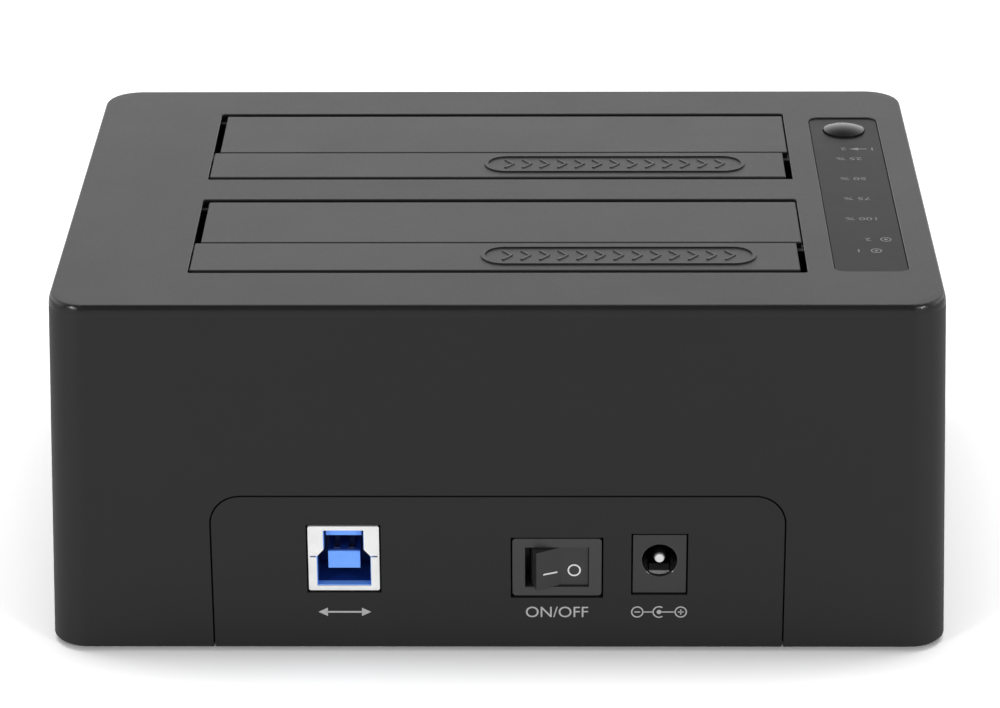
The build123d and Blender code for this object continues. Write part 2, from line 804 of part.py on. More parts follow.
with BuildPart() as main_board:
    with BuildSketch(Plane.XY.offset(board_under_z)):
        Rectangle(board_width, board_depth)
        with GridLocations(board_width - corner_cut_x, board_depth - corner_cut_y, 2, 2):
            Rectangle(corner_cut_x, corner_cut_y, mode=Mode.SUBTRACT)
        with Locations(*standoff_places):
            Circle(board_screw_radius + board_hole_play, mode=Mode.SUBTRACT)
        with Locations(*terminal_places):
            Rectangle(
                terminal_width + 2 * terminal_play,
                terminal_thickness + 2 * terminal_play,
                mode=Mode.SUBTRACT,
            )
    extrude(amount=board_thickness)
save(main_board, "main_board")

# Board screws, driven down into the standoffs.
board_head_radius = 2.3
board_head_height = 1.6
board_screw_grip = 4.0
board_screw = screw(
    board_head_radius, board_head_height, board_screw_radius, board_thickness + board_screw_grip
)

with BuildPart() as board_screws:
    with Locations(*[Location((x, y, board_z), (180, 0, 0)) for x, y in standoff_places]):
        add(board_screw)
save(board_screws, "board_screws")

# Drive sockets: one upright 22-way receptacle on the board in each well, with an L-shaped
# cavity for the signal tongue and a longer one for the power tongue.
contact_pitch = 1.27
signal_count = 7
power_count = 15
tongue_slot = 1.5
tongue_key = 1.3
key_reach = 1.2
cavity_depth = 5.6
cavity_end = 0.9
section_gap = 2.0
socket_chamfer = 0.6
contact_width = 0.6
contact_thickness = 0.3

signal_length = (signal_count - 1) * contact_pitch + 2 * cavity_end
power_length = (power_count - 1) * contact_pitch + 2 * cavity_end
signal_x = -(section_gap + power_length) / 2
power_x = (section_gap + signal_length) / 2
socket_top_z = board_z + socket_height


def drive_socket_part(bay_y):
    """Housing of the drive socket in a bay."""
    with BuildPart() as socket:
        with BuildSketch(Plane.XY.offset(board_z)):
            with Locations((plug_offset, plug_y(bay_y))):
                Rectangle(socket_length, socket_width)
        extrude(amount=socket_height)
        chamfer(socket.faces().sort_by(Axis.Z)[-1].edges(), socket_chamfer)
        with BuildSketch(Plane.XY.offset(socket_top_z)):
            with Locations((plug_offset, plug_y(bay_y))):
                with Locations((signal_x, 0)):
                    Rectangle(signal_length, tongue_slot)
                with Locations((power_x, 0)):
                    Rectangle(power_length, tongue_slot)
                with Locations(
                    (signal_x - (signal_length - tongue_key) / 2, (tongue_slot + key_reach) / 2),
                    (power_x + (power_length - tongue_key) / 2, (tongue_slot + key_reach) / 2),
                ):
                    Rectangle(tongue_key, key_reach)
        extrude(amount=-cavity_depth, mode=Mode.SUBTRACT)
    return socket


save(drive_socket_part(rear_bay_y), "rear_drive_socket")
save(drive_socket_part(front_bay_y), "front_drive_socket")

# Contacts of the drive sockets: flat springs along one wall of each cavity.
with BuildPart() as drive_socket_contacts:
    with BuildSketch(Plane.XY.offset(socket_top_z - cavity_depth)):
        for bay_y in (rear_bay_y, front_bay_y):
            wall_y = plug_y(bay_y) - (tongue_slot - contact_thickness) / 2
            with Locations((plug_offset + signal_x, wall_y)):
                with GridLocations(contact_pitch, 0, signal_count, 1):
                    Rectangle(contact_width, contact_thickness)
            with Locations((plug_offset + power_x, wall_y)):
                with GridLocations(contact_pitch, 0, power_count, 1):
                    Rectangle(contact_width, contact_thickness)
    extrude(amount=cavity_depth - socket_chamfer)
save(drive_socket_contacts, "drive_socket_contacts")

# USB type B socket: a folded metal shell whose front is turned in round a stepped opening.
sheet = 0.35
usb_mouth_width = 9.2
usb_mouth_neck = 6.9
usb_mouth_floor = 0.85
usb_mouth_shoulder = 6.4
usb_mouth_slope = 1.3
usb_mouth_roof = 0.75
usb_cavity_depth = 9.0
usb_lean_in = 0.1
usb_leg_width = 1.6
usb_leg_share = 2 / 3
usb_slit_length = 1.2
usb_slit_width = 0.3
usb_tongue_width = 5.4
usb_tongue_height = 3.15
usb_tongue_bottom = 3.65
usb_tongue_setback = 1.3
usb_bar_height = 1.5
usb_bar_width = 6.0
usb_contact_width = 1.0
usb_contact_pitch = 2.5
usb_contact_start = 1.0
usb_contact_thickness = 0.2
usb_upper_contact_width = 0.5
usb_upper_contact_pitch = 1.1
usb_upper_contact_count = 5

usb_floor_z = usb_z - usb_height / 2
port_plane = Plane.XZ.offset(-port_face_y)


def usb_mouth(grow):
    """Stepped opening of the USB socket on the port face, grown all round."""
    half = usb_mouth_width / 2 + grow
    neck = usb_mouth_neck / 2 + grow
    with BuildSketch(port_plane) as mouth:
        with BuildLine():
            Polyline(
                (usb_x - half, usb_floor_z + usb_mouth_floor - grow),
                (usb_x + half, usb_floor_z + usb_mouth_floor - grow),
                (usb_x + half, usb_floor_z + usb_mouth_shoulder),
                (usb_x + neck, usb_floor_z + usb_mouth_shoulder + usb_mouth_slope),
                (usb_x + neck, usb_floor_z + usb_height - usb_mouth_roof + grow),
                (usb_x - neck, usb_floor_z + usb_height - usb_mouth_roof + grow),
                (usb_x - neck, usb_floor_z + usb_mouth_shoulder + usb_mouth_slope),
                (usb_x - half, usb_floor_z + usb_mouth_shoulder),
                close=True,
            )
        make_face()
    return mouth.sketch


with BuildPart() as usb_socket_shell:
    with BuildSketch(port_plane):
        with Locations((usb_x, usb_z)):
            Rectangle(usb_width, usb_height)
    extrude(amount=-usb_depth)
    fillet(usb_socket_shell.edges().filter_by(Axis.Y), sheet)
    with BuildSketch(Plane.XZ.offset(-port_face_y - sheet)):
        with Locations((usb_x, usb_z)):
            Rectangle(usb_width - 2 * sheet, usb_height - 2 * sheet)
    extrude(amount=-(usb_depth - sheet), mode=Mode.SUBTRACT)
    extrude(usb_mouth(0), amount=-sheet, mode=Mode.SUBTRACT)
    # Slits where the folded front parts
    with BuildSketch(port_plane):
        with Locations((usb_x, usb_floor_z + usb_mouth_shoulder)):
            with GridLocations(usb_mouth_width + usb_slit_length, 0, 2, 1):
                Rectangle(usb_slit_length, usb_slit_width)
    extrude(amount=-sheet, mode=Mode.SUBTRACT)
    # Legs that stand the shell on the board
    with BuildSketch(Plane.XY.offset(board_z)):
        with Locations((usb_x, port_face_y + usb_leg_share * usb_depth)):
            with GridLocations(usb_width - sheet, 0, 2, 1):
                Rectangle(sheet, usb_leg_width)
    extrude(amount=usb_stand + sheet)
save(usb_socket_shell, "usb_socket_shell")

with BuildPart() as usb_socket_insulator:
    with BuildSketch(Plane.XZ.offset(-port_face_y - sheet)):
        with Locations((usb_x, usb_z)):
            Rectangle(usb_width - 2 * sheet - usb_lean_in, usb_height - 2 * sheet - usb_lean_in)
    extrude(amount=-(usb_depth - sheet - usb_lean_in))
    extrude(
        usb_mouth(-usb_lean_in), amount=-(usb_cavity_depth + sheet), mode=Mode.SUBTRACT
    )
    # Tongue, and the bar across the top of the mouth
    with BuildSketch(Plane.XZ.offset(-port_face_y - usb_cavity_depth - sheet)):
        with Locations((usb_x, usb_floor_z + usb_tongue_bottom + usb_tongue_height / 2)):
            Rectangle(usb_tongue_width, usb_tongue_height)
        with Locations((usb_x, usb_floor_z + usb_height - usb_mouth_roof - usb_bar_height / 2)):
            Rectangle(usb_bar_width, usb_bar_height)
    extrude(amount=usb_cavity_depth + sheet - usb_tongue_setback)
save(usb_socket_insulator, "usb_socket_insulator")

# USB contacts: two flat strips on the tongue, two under it and five under the bar.
usb_contact_length = usb_cavity_depth + sheet - usb_tongue_setback - usb_contact_start
usb_tongue_top_z = usb_floor_z + usb_tongue_bottom + usb_tongue_height
usb_bar_under_z = usb_floor_z + usb_height - usb_mouth_roof - usb_bar_height

with BuildPart() as usb_contacts:
    with BuildSketch(Plane.XZ.offset(-port_face_y - usb_cavity_depth - sheet)):
        with Locations(
            (usb_x, usb_tongue_top_z + usb_contact_thickness / 2),
            (usb_x, usb_floor_z + usb_tongue_bottom - usb_contact_thickness / 2),
        ):
            with GridLocations(usb_contact_pitch, 0, 2, 1):
                Rectangle(usb_contact_width, usb_contact_thickness)
        with Locations((usb_x, usb_bar_under_z - usb_contact_thickness / 2)):
            with GridLocations(usb_upper_contact_pitch, 0, usb_upper_contact_count, 1):
                Rectangle(usb_upper_contact_width, usb_contact_thickness)
    extrude(amount=usb_contact_length)
save(usb_contacts, "usb_contacts")

# Power jack: a moulded block with a round bore, a centre pin and a leaf spring in its floor.
jack_bore_depth = 9.5
jack_pin_radius = 1.05
jack_pin_setback = 0.8
jack_pin_tip = 0.6
leaf_width = 3.4
leaf_thickness = 0.4
leaf_setback = 1.2
leaf_length = 7.0
leaf_bend = 0.7

jack_bore_z = board_z + jack_bore_height

with BuildPart() as jack_housing:
    with BuildSketch(port_plane):
        with Locations((jack_x, jack_z)):
            Rectangle(jack_width, jack_height)
    extrude(amount=-jack_depth)
    with BuildSketch(port_plane):
        with Locations((jack_x, jack_bore_z)):
            Circle(jack_bore_radius)
    extrude(amount=-jack_bore_depth, mode=Mode.SUBTRACT)
    # Groove in the bore's floor for the leaf spring
    with BuildSketch(Plane.XZ.offset(-port_face_y - leaf_setback)):
        with Locations((jack_x, jack_bore_z - jack_bore_radius)):
            Rectangle(leaf_width + leaf_thickness, 2 * leaf_bend)
    extrude(amount=-(jack_bore_depth - leaf_setback), mode=Mode.SUBTRACT)
save(jack_housing, "jack_housing")

with BuildPart() as jack_pin:
    with BuildSketch(Plane.XZ.offset(-port_face_y - jack_bore_depth)):
        with Locations((jack_x, jack_bore_z)):
            Circle(jack_pin_radius)
    extrude(amount=jack_bore_depth - jack_pin_setback)
    chamfer(jack_pin.faces().sort_by(Axis.Y)[0].edges(), jack_pin_tip, jack_pin_tip / 2)
save(jack_pin, "jack_pin")

leaf_z = jack_bore_z - jack_bore_radius - leaf_bend
leaf_start_y = port_face_y + leaf_setback + leaf_thickness

with BuildPart() as jack_leaf:
    with BuildSketch(Plane.YZ.offset(jack_x - leaf_width / 2)):
        with BuildLine():
            Polyline(
                (leaf_start_y, leaf_z + leaf_thickness / 2),
                (leaf_start_y + leaf_length / 4, leaf_z + 2 * leaf_bend),
                (leaf_start_y + leaf_length / 2, leaf_z + leaf_thickness / 2),
                (leaf_start_y + leaf_length, leaf_z + leaf_thickness / 2),
            )
        trace(line_width=leaf_thickness)
    extrude(amount=leaf_width)
save(jack_leaf, "jack_leaf")

# Power switch: a sealed rocker switch on the board, with its bezel in the port plate. The rocker
# is a shallow V that turns about an upright pin, and rests with its off half pressed in.
bezel_depth = 2.0
bezel_corner = 0.6
rocker_well_width = 10.84
rocker_well_height = 7.5
switch_body_width = 13.4
rocker_tilt = 15.0
rocker_half = 4.55
rocker_reach = 3.5
rocker_inset = 0.45
rocker_gap = 0.2
rocker_floor_gap = 0.4
rocker_pin_radius = 0.9
rocker_pin_play = 0.06

tilt = math.radians(rocker_tilt)
pivot_y = port_face_y + rocker_inset + rocker_reach * math.cos(tilt) - rocker_half * math.sin(tilt)
rocker_drop = rocker_reach - rocker_half * math.tan(tilt)
rocker_round = math.hypot(rocker_half, rocker_reach)
switch_body_height = 2 * (switch_z - board_z)
rocker_height = rocker_well_height - 2 * rocker_gap
well_back_y = pivot_y + rocker_reach + rocker_floor_gap

with BuildPart() as switch_housing:
    with BuildSketch(port_plane):
        with Locations((switch_x, switch_z)):
            RectangleRounded(bezel_width, bezel_height, bezel_corner)
    extrude(amount=-bezel_depth)
    with BuildSketch(Plane.XZ.offset(-port_face_y - bezel_depth)):
        with Locations((switch_x, switch_z)):
            Rectangle(switch_body_width, switch_body_height)
    extrude(amount=-(switch_body_depth - bezel_depth))
    with BuildSketch(port_plane):
        with Locations((switch_x, switch_z)):
            Rectangle(rocker_well_width, rocker_well_height)
    extrude(amount=-(well_back_y - port_face_y), mode=Mode.SUBTRACT)
    # Widened hollow for the ends of the rocker, and bores for its pin
    with BuildSketch(Plane.XY.offset(switch_z - rocker_well_height / 2)):
        with Locations((switch_x, pivot_y)):
            Circle(rocker_round + rocker_gap)
            with Locations((0, -rocker_round)):
                Rectangle(4 * rocker_round, 2 * rocker_round, mode=Mode.SUBTRACT)
    extrude(amount=rocker_well_height, mode=Mode.SUBTRACT)
    with BuildSketch(Plane.XY.offset(switch_z - rocker_well_height / 2 - rocker_pin_radius)):
        with Locations((switch_x, pivot_y)):
            Circle(rocker_pin_radius + rocker_pin_play)
    extrude(amount=rocker_well_height + 2 * rocker_pin_radius, mode=Mode.SUBTRACT)
save(switch_housing, "switch_housing")

rocker_plane = Plane(
    origin=(switch_x, pivot_y, switch_z - rocker_height / 2),
    x_dir=(math.cos(tilt), math.sin(tilt), 0),
    z_dir=(0, 0, 1),
)

with BuildPart() as power_rocker:
    with BuildSketch(rocker_plane):
        with BuildLine():
            Polyline(
                (-rocker_half, -rocker_reach),
                (0, -rocker_drop),
                (rocker_half, -rocker_reach),
                (rocker_half, 0),
            )
            RadiusArc((rocker_half, 0), (-rocker_half, 0), -rocker_half)
            Line((-rocker_half, 0), (-rocker_half, -rocker_reach))
        make_face()
    extrude(amount=rocker_height)
    pin_reach = rocker_gap + rocker_pin_radius - rocker_pin_play
    with BuildSketch(rocker_plane.offset(-pin_reach)):
        Circle(rocker_pin_radius)
    extrude(amount=rocker_height + 2 * pin_reach)
save(power_rocker, "power_rocker")

# Terminals of the power switch and the power jack: flat blades down through the board.
with BuildPart() as port_terminals:
    with BuildSketch(Plane.XY.offset(board_under_z)):
        with Locations(*terminal_places):
            Rectangle(terminal_width, terminal_thickness)
    extrude(amount=switch_z - board_under_z)
save(port_terminals, "port_terminals")

# Parts on the circuit board: low chips under the wells, tall parts beside and behind them.
chip_size = 10.0
chip_height = 1.3
chip_step = 22.0
inductor_size = 12.0
inductor_height = 6.5
inductor_corner = 2.0
side_row_step = 12.0
capacitor_radius = 4.0
capacitor_height = 11.5
capacitor_step = 9.5
capacitor_edge = 0.4
crystal_length = 11.0
crystal_width = 4.5
crystal_height = 3.5
crystal_x = -9.0

rear_row_y = -board_depth / 2 + capacitor_radius + capacitor_edge
chip_places = [
    (-chip_step, rear_bay_y), (-chip_step, front_bay_y), (0, bay_shift), (chip_step, bay_shift)
]
capacitor_places = [
    (-strip_x, 0), (-strip_x, -side_row_step),
    (jack_x + side_row_step + capacitor_edge, rear_row_y),
    (jack_x + side_row_step + capacitor_edge + capacitor_step, rear_row_y),
]

with BuildPart() as board_chips:
    with BuildSketch(Plane.XY.offset(board_z)):
        with Locations(*chip_places):
            Rectangle(chip_size, chip_size)
    extrude(amount=chip_height)
save(board_chips, "board_chips")

with BuildPart() as power_inductor:
    with BuildSketch(Plane.XY.offset(board_z)):
        with Locations((-strip_x, side_row_step)):
            RectangleRounded(inductor_size, inductor_size, inductor_corner)
    extrude(amount=inductor_height)
save(power_inductor, "power_inductor")

with BuildPart() as board_capacitors:
    with BuildSketch(Plane.XY.offset(board_z)):
        with Locations(*capacitor_places):
            Circle(capacitor_radius)
    extrude(amount=capacitor_height)
save(board_capacitors, "board_capacitors")

with BuildPart() as board_crystal:
    with BuildSketch(Plane.XY.offset(board_z)):
        with Locations((crystal_x, rear_row_y)):
            SlotOverall(crystal_length, crystal_width)
    extrude(amount=crystal_height)
save(board_crystal, "board_crystal")

# Control strip: a smoked panel on the ledge of its seat, with a hole for the button.
button_gap = 0.12
strip_edge_bevel = 0.15

with BuildPart() as control_strip:
    with BuildSketch(Plane.XY.offset(strip_under_z)):
        with Locations((strip_x, 0)):
            RectangleRounded(strip_width, strip_length, strip_corner)
    extrude(amount=strip_thickness)
    chamfer(control_strip.faces().sort_by(Axis.Z)[-1].edges(), strip_edge_bevel)
    with BuildSketch(Plane.XY.offset(strip_under_z)):
        with Locations((button_x, button_y)):
            Circle(button_radius + button_gap)
    extrude(amount=strip_thickness, mode=Mode.SUBTRACT)
save(control_strip, "control_strip")

# Push button: a domed cap with a flange that stops it under the strip, and a stem that rests on
# the plunger of a small push switch.
button_rise = 0.3
button_dome = 0.7
flange_radius = 4.3
flange_thickness = 0.8
flange_play = 0.05
stem_radius = 1.6
push_switch_size = 6.2
push_switch_height = 3.4
plunger_radius = 1.7
plunger_rise = 1.0
plunger_play = 0.06

dome_radius = (button_radius**2 + button_dome**2) / (2 * button_dome)
button_top_z = strip_top_z + button_rise + button_dome
flange_z = strip_under_z - flange_play
push_switch_z = indicator_z + push_switch_height
plunger_top_z = push_switch_z + plunger_rise

with BuildPart() as push_button:
    with BuildSketch(Plane.XY.offset(flange_z)):
        with Locations((button_x, button_y)):
            Circle(button_radius)
    extrude(amount=button_top_z - flange_z)
    with Locations((button_x, button_y, button_top_z - dome_radius)):
        Sphere(dome_radius, mode=Mode.INTERSECT)
    with BuildSketch(Plane.XY.offset(flange_z)):
        with Locations((button_x, button_y)):
            Circle(flange_radius)
    extrude(amount=-flange_thickness)
    with BuildSketch(Plane.XY.offset(flange_z - flange_thickness)):
        with Locations((button_x, button_y)):
            Circle(stem_radius)
    extrude(amount=-(flange_z - flange_thickness - plunger_top_z))
save(push_button, "push_button")

with BuildPart() as push_switch_plunger:
    with BuildSketch(Plane.XY.offset(plunger_top_z)):
        with Locations((button_x, button_y)):
            Circle(plunger_radius)
    extrude(amount=-2 * plunger_rise)
save(push_switch_plunger, "push_switch_plunger")

with BuildPart() as push_switch_body:
    with BuildSketch(Plane.XY.offset(indicator_z)):
        with Locations((button_x, button_y)):
            Rectangle(push_switch_size, push_switch_size)
    extrude(amount=push_switch_height)
    with BuildSketch(Plane.XY.offset(push_switch_z)):
        with Locations((button_x, button_y)):
            Circle(plunger_radius + plunger_play)
    extrude(amount=-(plunger_rise + button_travel + plunger_play), mode=Mode.SUBTRACT)
save(push_switch_body, "push_switch_body")

# Indicator board under the strip, screwed to its two posts, with its lights in a dark baffle.
indicator_width = 10.4
indicator_end = 2.2
indicator_corner = 4.5
indicator_thickness = 1.2
indicator_hole_play = 0.2
indicator_head_radius = 1.8
indicator_head_height = 1.3
light_count = 5
light_step = 9.6
light_end_margin = 39.6
light_length = 3.0
light_width = 1.6
light_height = 0.8
baffle_width = 8.4
baffle_wall = 1.0
baffle_cell_length = 5.4
baffle_cell_width = 4.0
baffle_play = 0.1

light_y = strip_length / 2 - light_end_margin

with BuildPart() as indicator_board:
    with BuildSketch(Plane.XY.offset(indicator_z)):
        with Locations((strip_x, 0)):
            RectangleRounded(
                indicator_width, 2 * (indicator_post_y + indicator_end), indicator_corner
            )
        with Locations(*indicator_post_places):
            Circle(indicator_screw_radius + indicator_hole_play, mode=Mode.SUBTRACT)
    extrude(amount=-indicator_thickness)
save(indicator_board, "indicator_board")

indicator_screw = screw(
    indicator_head_radius,
    indicator_head_height,
    indicator_screw_radius,
    indicator_thickness + indicator_screw_grip - overrun,
)

with BuildPart() as indicator_board_screws:
    with Locations(
        *[Location((x, y, indicator_z - indicator_thickness)) for x, y in indicator_post_places]
    ):
        add(indicator_screw)
save(indicator_board_screws, "indicator_board_screws")

with BuildPart() as indicator_lights:
    with BuildSketch(Plane.XY.offset(indicator_z)):
        with Locations((strip_x, light_y)):
            with GridLocations(0, light_step, 1, light_count):
                Rectangle(light_length, light_width)
    extrude(amount=light_height)
save(indicator_lights, "indicator_lights")

with BuildPart() as light_baffle:
    with BuildSketch(Plane.XY.offset(indicator_z)):
        with Locations((strip_x, light_y)):
            Rectangle(
                baffle_width, (light_count - 1) * light_step + baffle_cell_width + 2 * baffle_wall
            )
            with GridLocations(0, light_step, 1, light_count):
                Rectangle(baffle_cell_length, baffle_cell_width, mode=Mode.SUBTRACT)
    extrude(amount=indicator_drop - baffle_play)
save(light_baffle, "light_baffle")

# Flat cable between the two boards, bowed outwards, with a header at each end.
header_length = 8.6
header_width = 3.2
header_height = 2.4
cable_width = 6.4
cable_thickness = 0.8
cable_bow = 4.0
cable_shift = 4.0

cable_top_z = indicator_z - indicator_thickness - header_height
cable_foot_z = board_z + header_height

with BuildPart() as cable_headers:
    for header_z in (board_z, cable_top_z):
        with BuildSketch(Plane.XY.offset(header_z)):
            with Locations((strip_x, -cable_shift)):
                Rectangle(header_width, header_length)
        extrude(amount=header_height)
save(cable_headers, "cable_headers")

with BuildPart() as flat_cable:
    with BuildSketch(Plane.XZ.offset(cable_shift)):
        with BuildLine():
            Spline(
                (strip_x, cable_top_z),
                (strip_x + cable_bow, (cable_top_z + cable_foot_z) / 2),
                (strip_x, cable_foot_z),
                tangents=((0, -1), (0, -1)),
            )
        trace(line_width=cable_thickness)
    extrude(amount=cable_width / 2, both=True)
save(flat_cable, "flat_cable")
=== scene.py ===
import json
import math

import bmesh
import bpy
from mathutils import Matrix, Vector
from mathutils.bvhtree import BVHTree


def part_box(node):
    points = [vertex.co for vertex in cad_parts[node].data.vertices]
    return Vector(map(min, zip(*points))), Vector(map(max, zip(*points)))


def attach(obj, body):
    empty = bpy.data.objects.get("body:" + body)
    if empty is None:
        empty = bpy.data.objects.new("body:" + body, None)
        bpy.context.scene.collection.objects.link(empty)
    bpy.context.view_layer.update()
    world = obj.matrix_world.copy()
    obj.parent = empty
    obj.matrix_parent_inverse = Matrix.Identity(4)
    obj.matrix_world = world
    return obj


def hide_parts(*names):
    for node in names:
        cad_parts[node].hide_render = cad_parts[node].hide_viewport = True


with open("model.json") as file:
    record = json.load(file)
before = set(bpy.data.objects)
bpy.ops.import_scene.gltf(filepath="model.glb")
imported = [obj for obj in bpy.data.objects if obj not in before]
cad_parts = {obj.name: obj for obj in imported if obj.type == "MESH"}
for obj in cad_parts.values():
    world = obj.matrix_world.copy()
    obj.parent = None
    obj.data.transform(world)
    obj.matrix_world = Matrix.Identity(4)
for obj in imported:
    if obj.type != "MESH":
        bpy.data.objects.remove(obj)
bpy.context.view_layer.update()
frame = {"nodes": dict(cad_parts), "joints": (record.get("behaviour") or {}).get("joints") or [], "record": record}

# Base with its upright port plate
# One moulding in black ABS with a fine spark-eroded texture, 2.2 mm thick. It closes the housing
# from below and is held by four screws that go up into the upper shell.
MM = 0.001
bodies_of_nodes = {
    node: body
    for body, nodes in frame["record"]["behaviour"]["bodies"].items()
    for node in nodes
}


class Value:
    """A node's output. Sums written on it add Math nodes to its tree."""

    def __init__(self, nodes, socket):
        self.nodes = nodes
        self.socket = socket

    def maths(self, operation, first, second):
        return self.nodes.node(
            "ShaderNodeMath", {"operation": operation}, {0: first, 1: second}
        )

    def __add__(self, other):
        return self.maths("ADD", self, other)

    def __sub__(self, other):
        return self.maths("SUBTRACT", self, other)

    def __rsub__(self, other):
        return self.maths("SUBTRACT", other, self)

    def __mul__(self, other):
        return self.maths("MULTIPLY", self, other)

    __radd__ = __add__
    __rmul__ = __mul__


class Nodes:
    """A node tree to which nodes are added with their settings and links."""

    def __init__(self, tree):
        self.tree = tree
        self.tree.nodes.clear()

    def node(self, kind, settings=None, values=None, output=0):
        """Adds one node with its settings and its sockets' values or links."""
        made = self.tree.nodes.new(kind)
        for name, setting in (settings or {}).items():
            setattr(made, name, setting)
        for name, value in (values or {}).items():
            if isinstance(value, Value):
                self.tree.links.new(value.socket, made.inputs[name])
            else:
                made.inputs[name].default_value = value
        return Value(self, made.outputs[output]) if len(made.outputs) else None

    def place(self, axis):
        """One of the three Object coordinates, in metres."""
        whole = self.node("ShaderNodeTexCoord", output="Object")
        return self.node("ShaderNodeSeparateXYZ", values={0: whole}, output=axis)

    def share(self, value, start, end):
        """Smooth share from 0 at the start to 1 at the end of a range."""
        return self.node(
            "ShaderNodeMapRange",
            {"interpolation_type": "SMOOTHSTEP"},
            {"Value": value, "From Min": start, "From Max": end},
        )


class Finish(Nodes):
    """A surface finish, made of shader nodes."""

    def __init__(self, name):
        self.material = bpy.data.materials.new(name)
        self.material.use_nodes = True
        super().__init__(self.material.node_tree)

    def noise(self, size, detail=2.0, roughness=0.5):
        """Noise from 0 to 1 whose blotches are so many millimetres across."""
        whole = self.node("ShaderNodeTexCoord", output="Object")
        return self.node(
            "ShaderNodeTexNoise",
            values={
                "Vector": whole,
                "Scale": 1 / (size * MM),
                "Detail": detail,
                "Roughness": roughness,
            },
        )

    def bump(self, height, depth):
        """Normal of a relief so many millimetres deep."""
        return self.node("ShaderNodeBump", values={"Height": height, "Distance": depth * MM})

    def blend(self, share, first, second):
        """Colour between two, by a share from 0 to 1. Either may be a node's colour."""
        colours = [
            colour if isinstance(colour, Value) else (*colour, 1) for colour in (first, second)
        ]
        return self.node(
            "ShaderNodeMix",
            {"data_type": "RGBA"},
            {"Factor": share, 6: colours[0], 7: colours[1]},
            output=2,
        )

    def surface(self, values):
        """Ends the finish in one Principled shader."""
        shader = self.node("ShaderNodeBsdfPrincipled", values=values)
        self.node("ShaderNodeOutputMaterial", values={"Surface": shader})
        return self.material


def moulding(name, colour, roughness, grain=0.42, depth=0.011, gloss=0.5, mottle=0.14, rubbed=None):
    """Moulded plastic with a grained relief and faint clouds, smoother in a band rubbed by use.

    The band is given by four heights: where it starts, is full, starts to end and has ended.
    """
    cloud_size = 14.0
    cloud_tint = 0.55
    cloud_share = 0.06
    grain_share = 0.12
    rub_share = 0.26
    finish = Finish(name)
    pebble = finish.noise(grain, detail=3.0, roughness=0.6)
    clouds = finish.noise(cloud_size, detail=4.0, roughness=0.6)
    dark = [share * (1 - mottle) for share in colour]
    light = [min(1, share * (1 + mottle)) for share in colour]
    lowest = roughness - (grain_share + cloud_share) / 2
    matt = pebble * grain_share + clouds * cloud_share + lowest
    if rubbed:
        height = finish.place("Z")
        starts, full, ending, ended = [level * MM for level in rubbed]
        band = finish.share(height, starts, full) * finish.share(height, ended, ending)
        matt = matt - band * rub_share
    tint = clouds * cloud_tint + pebble * (1 - cloud_tint)
    return finish.surface(
        {
            "Base Color": finish.blend(tint, dark, light),
            "Roughness": matt,
            "Specular IOR Level": gloss,
            "Normal": finish.bump(pebble, depth),
        }
    )


def finished(node, material):
    """Merged copy of a CAD piece with its round surfaces smoothed, in its finish and its place."""
    merge_gap = 0.0005
    sliver_area = 1e-14
    smooth_angle = 28
    mesh = bpy.data.meshes.new(f"{node}_surface")
    shape = bmesh.new()
    shape.from_mesh(frame["nodes"][node].data)
    bmesh.ops.remove_doubles(shape, verts=shape.verts, dist=merge_gap * MM)
    slivers = [face for face in shape.faces if face.calc_area() < sliver_area]
    bmesh.ops.delete(shape, geom=slivers, context="FACES_ONLY")
    shape.to_mesh(mesh)
    shape.free()
    mesh.attributes.remove(mesh.attributes["custom_normal"])
    mesh.shade_smooth()
    mesh.set_sharp_from_angle(angle=math.radians(smooth_angle))
    piece = bpy.data.objects.new(f"{node}_finished", mesh)
    bpy.context.scene.collection.objects.link(piece)
    weighting = piece.modifiers.new("weighting", "WEIGHTED_NORMAL")
    weighting.keep_sharp = True
    weighting.weight = 100
    mesh.materials.append(material)
    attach(piece, bodies_of_nodes[node])
    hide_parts(node)
    return piece


housing_colour = (0.0112, 0.0109, 0.011)
textured_black = moulding("textured_black_plastic", housing_colour, 0.5, gloss=0.38)
base = finished("base_shell", textured_black)

# Marks printed on the port plate
# Pad-printed in light grey ink under each port: a double arrow, ON/OFF, and the polarity of a
# direct-current plug with its pin positive.
RIGHT = Vector((1, 0, 0))
UP = Vector((0, 0, 1))


class Drawing:
    """Flat shapes in millimetres that make up one print."""

    def __init__(self):
        self.shape = bmesh.new()

    def patch(self, points):
        """One flat face."""
        face = self.shape.faces.new([self.shape.verts.new((*point, 0)) for point in points])
        face.normal_update()
        if face.normal.z < 0:
            face.normal_flip()

    def line(self, start, end, width):
        """Straight stroke with square ends."""
        start, end = Vector(start), Vector(end)
        along = (end - start).normalized()
        side = Vector((-along.y, along.x)) * width / 2
        self.patch([start - side, end - side, end + side, start + side])

    def arc(self, centre, radius, width, start=0, end=360, steps=40):
        """Ring or part of one, by its middle radius and its angles in degrees."""
        rims = []
        for step in range(steps + 1):
            angle = math.radians(start + (end - start) * step / steps)
            ray = Vector((math.cos(angle), math.sin(angle)))
            rims.append([Vector(centre) + ray * (radius + side * width / 2) for side in (-1, 1)])
        for (near, far), (next_near, next_far) in zip(rims, rims[1:]):
            self.patch([near, far, next_far, next_near])

    def letters(self, text, centre, height, width):
        """Plain lettering scaled to a height and width."""
        curve = bpy.data.curves.new("lettering", "FONT")
        curve.body = text
        writer = bpy.data.objects.new("lettering", curve)
        flat = bpy.data.meshes.new_from_object(writer)
        bpy.data.objects.remove(writer)
        left, right = [pick(vert.co.x for vert in flat.vertices) for pick in (min, max)]
        foot, head = [pick(vert.co.y for vert in flat.vertices) for pick in (min, max)]
        middle = Vector(((left + right) / 2, (foot + head) / 2, 0))
        scale = Vector((width / (right - left), height / (head - foot), 1))
        for vert in flat.vertices:
            vert.co = (vert.co - middle) * scale + Vector((*centre, 0))
        self.shape.from_mesh(flat)


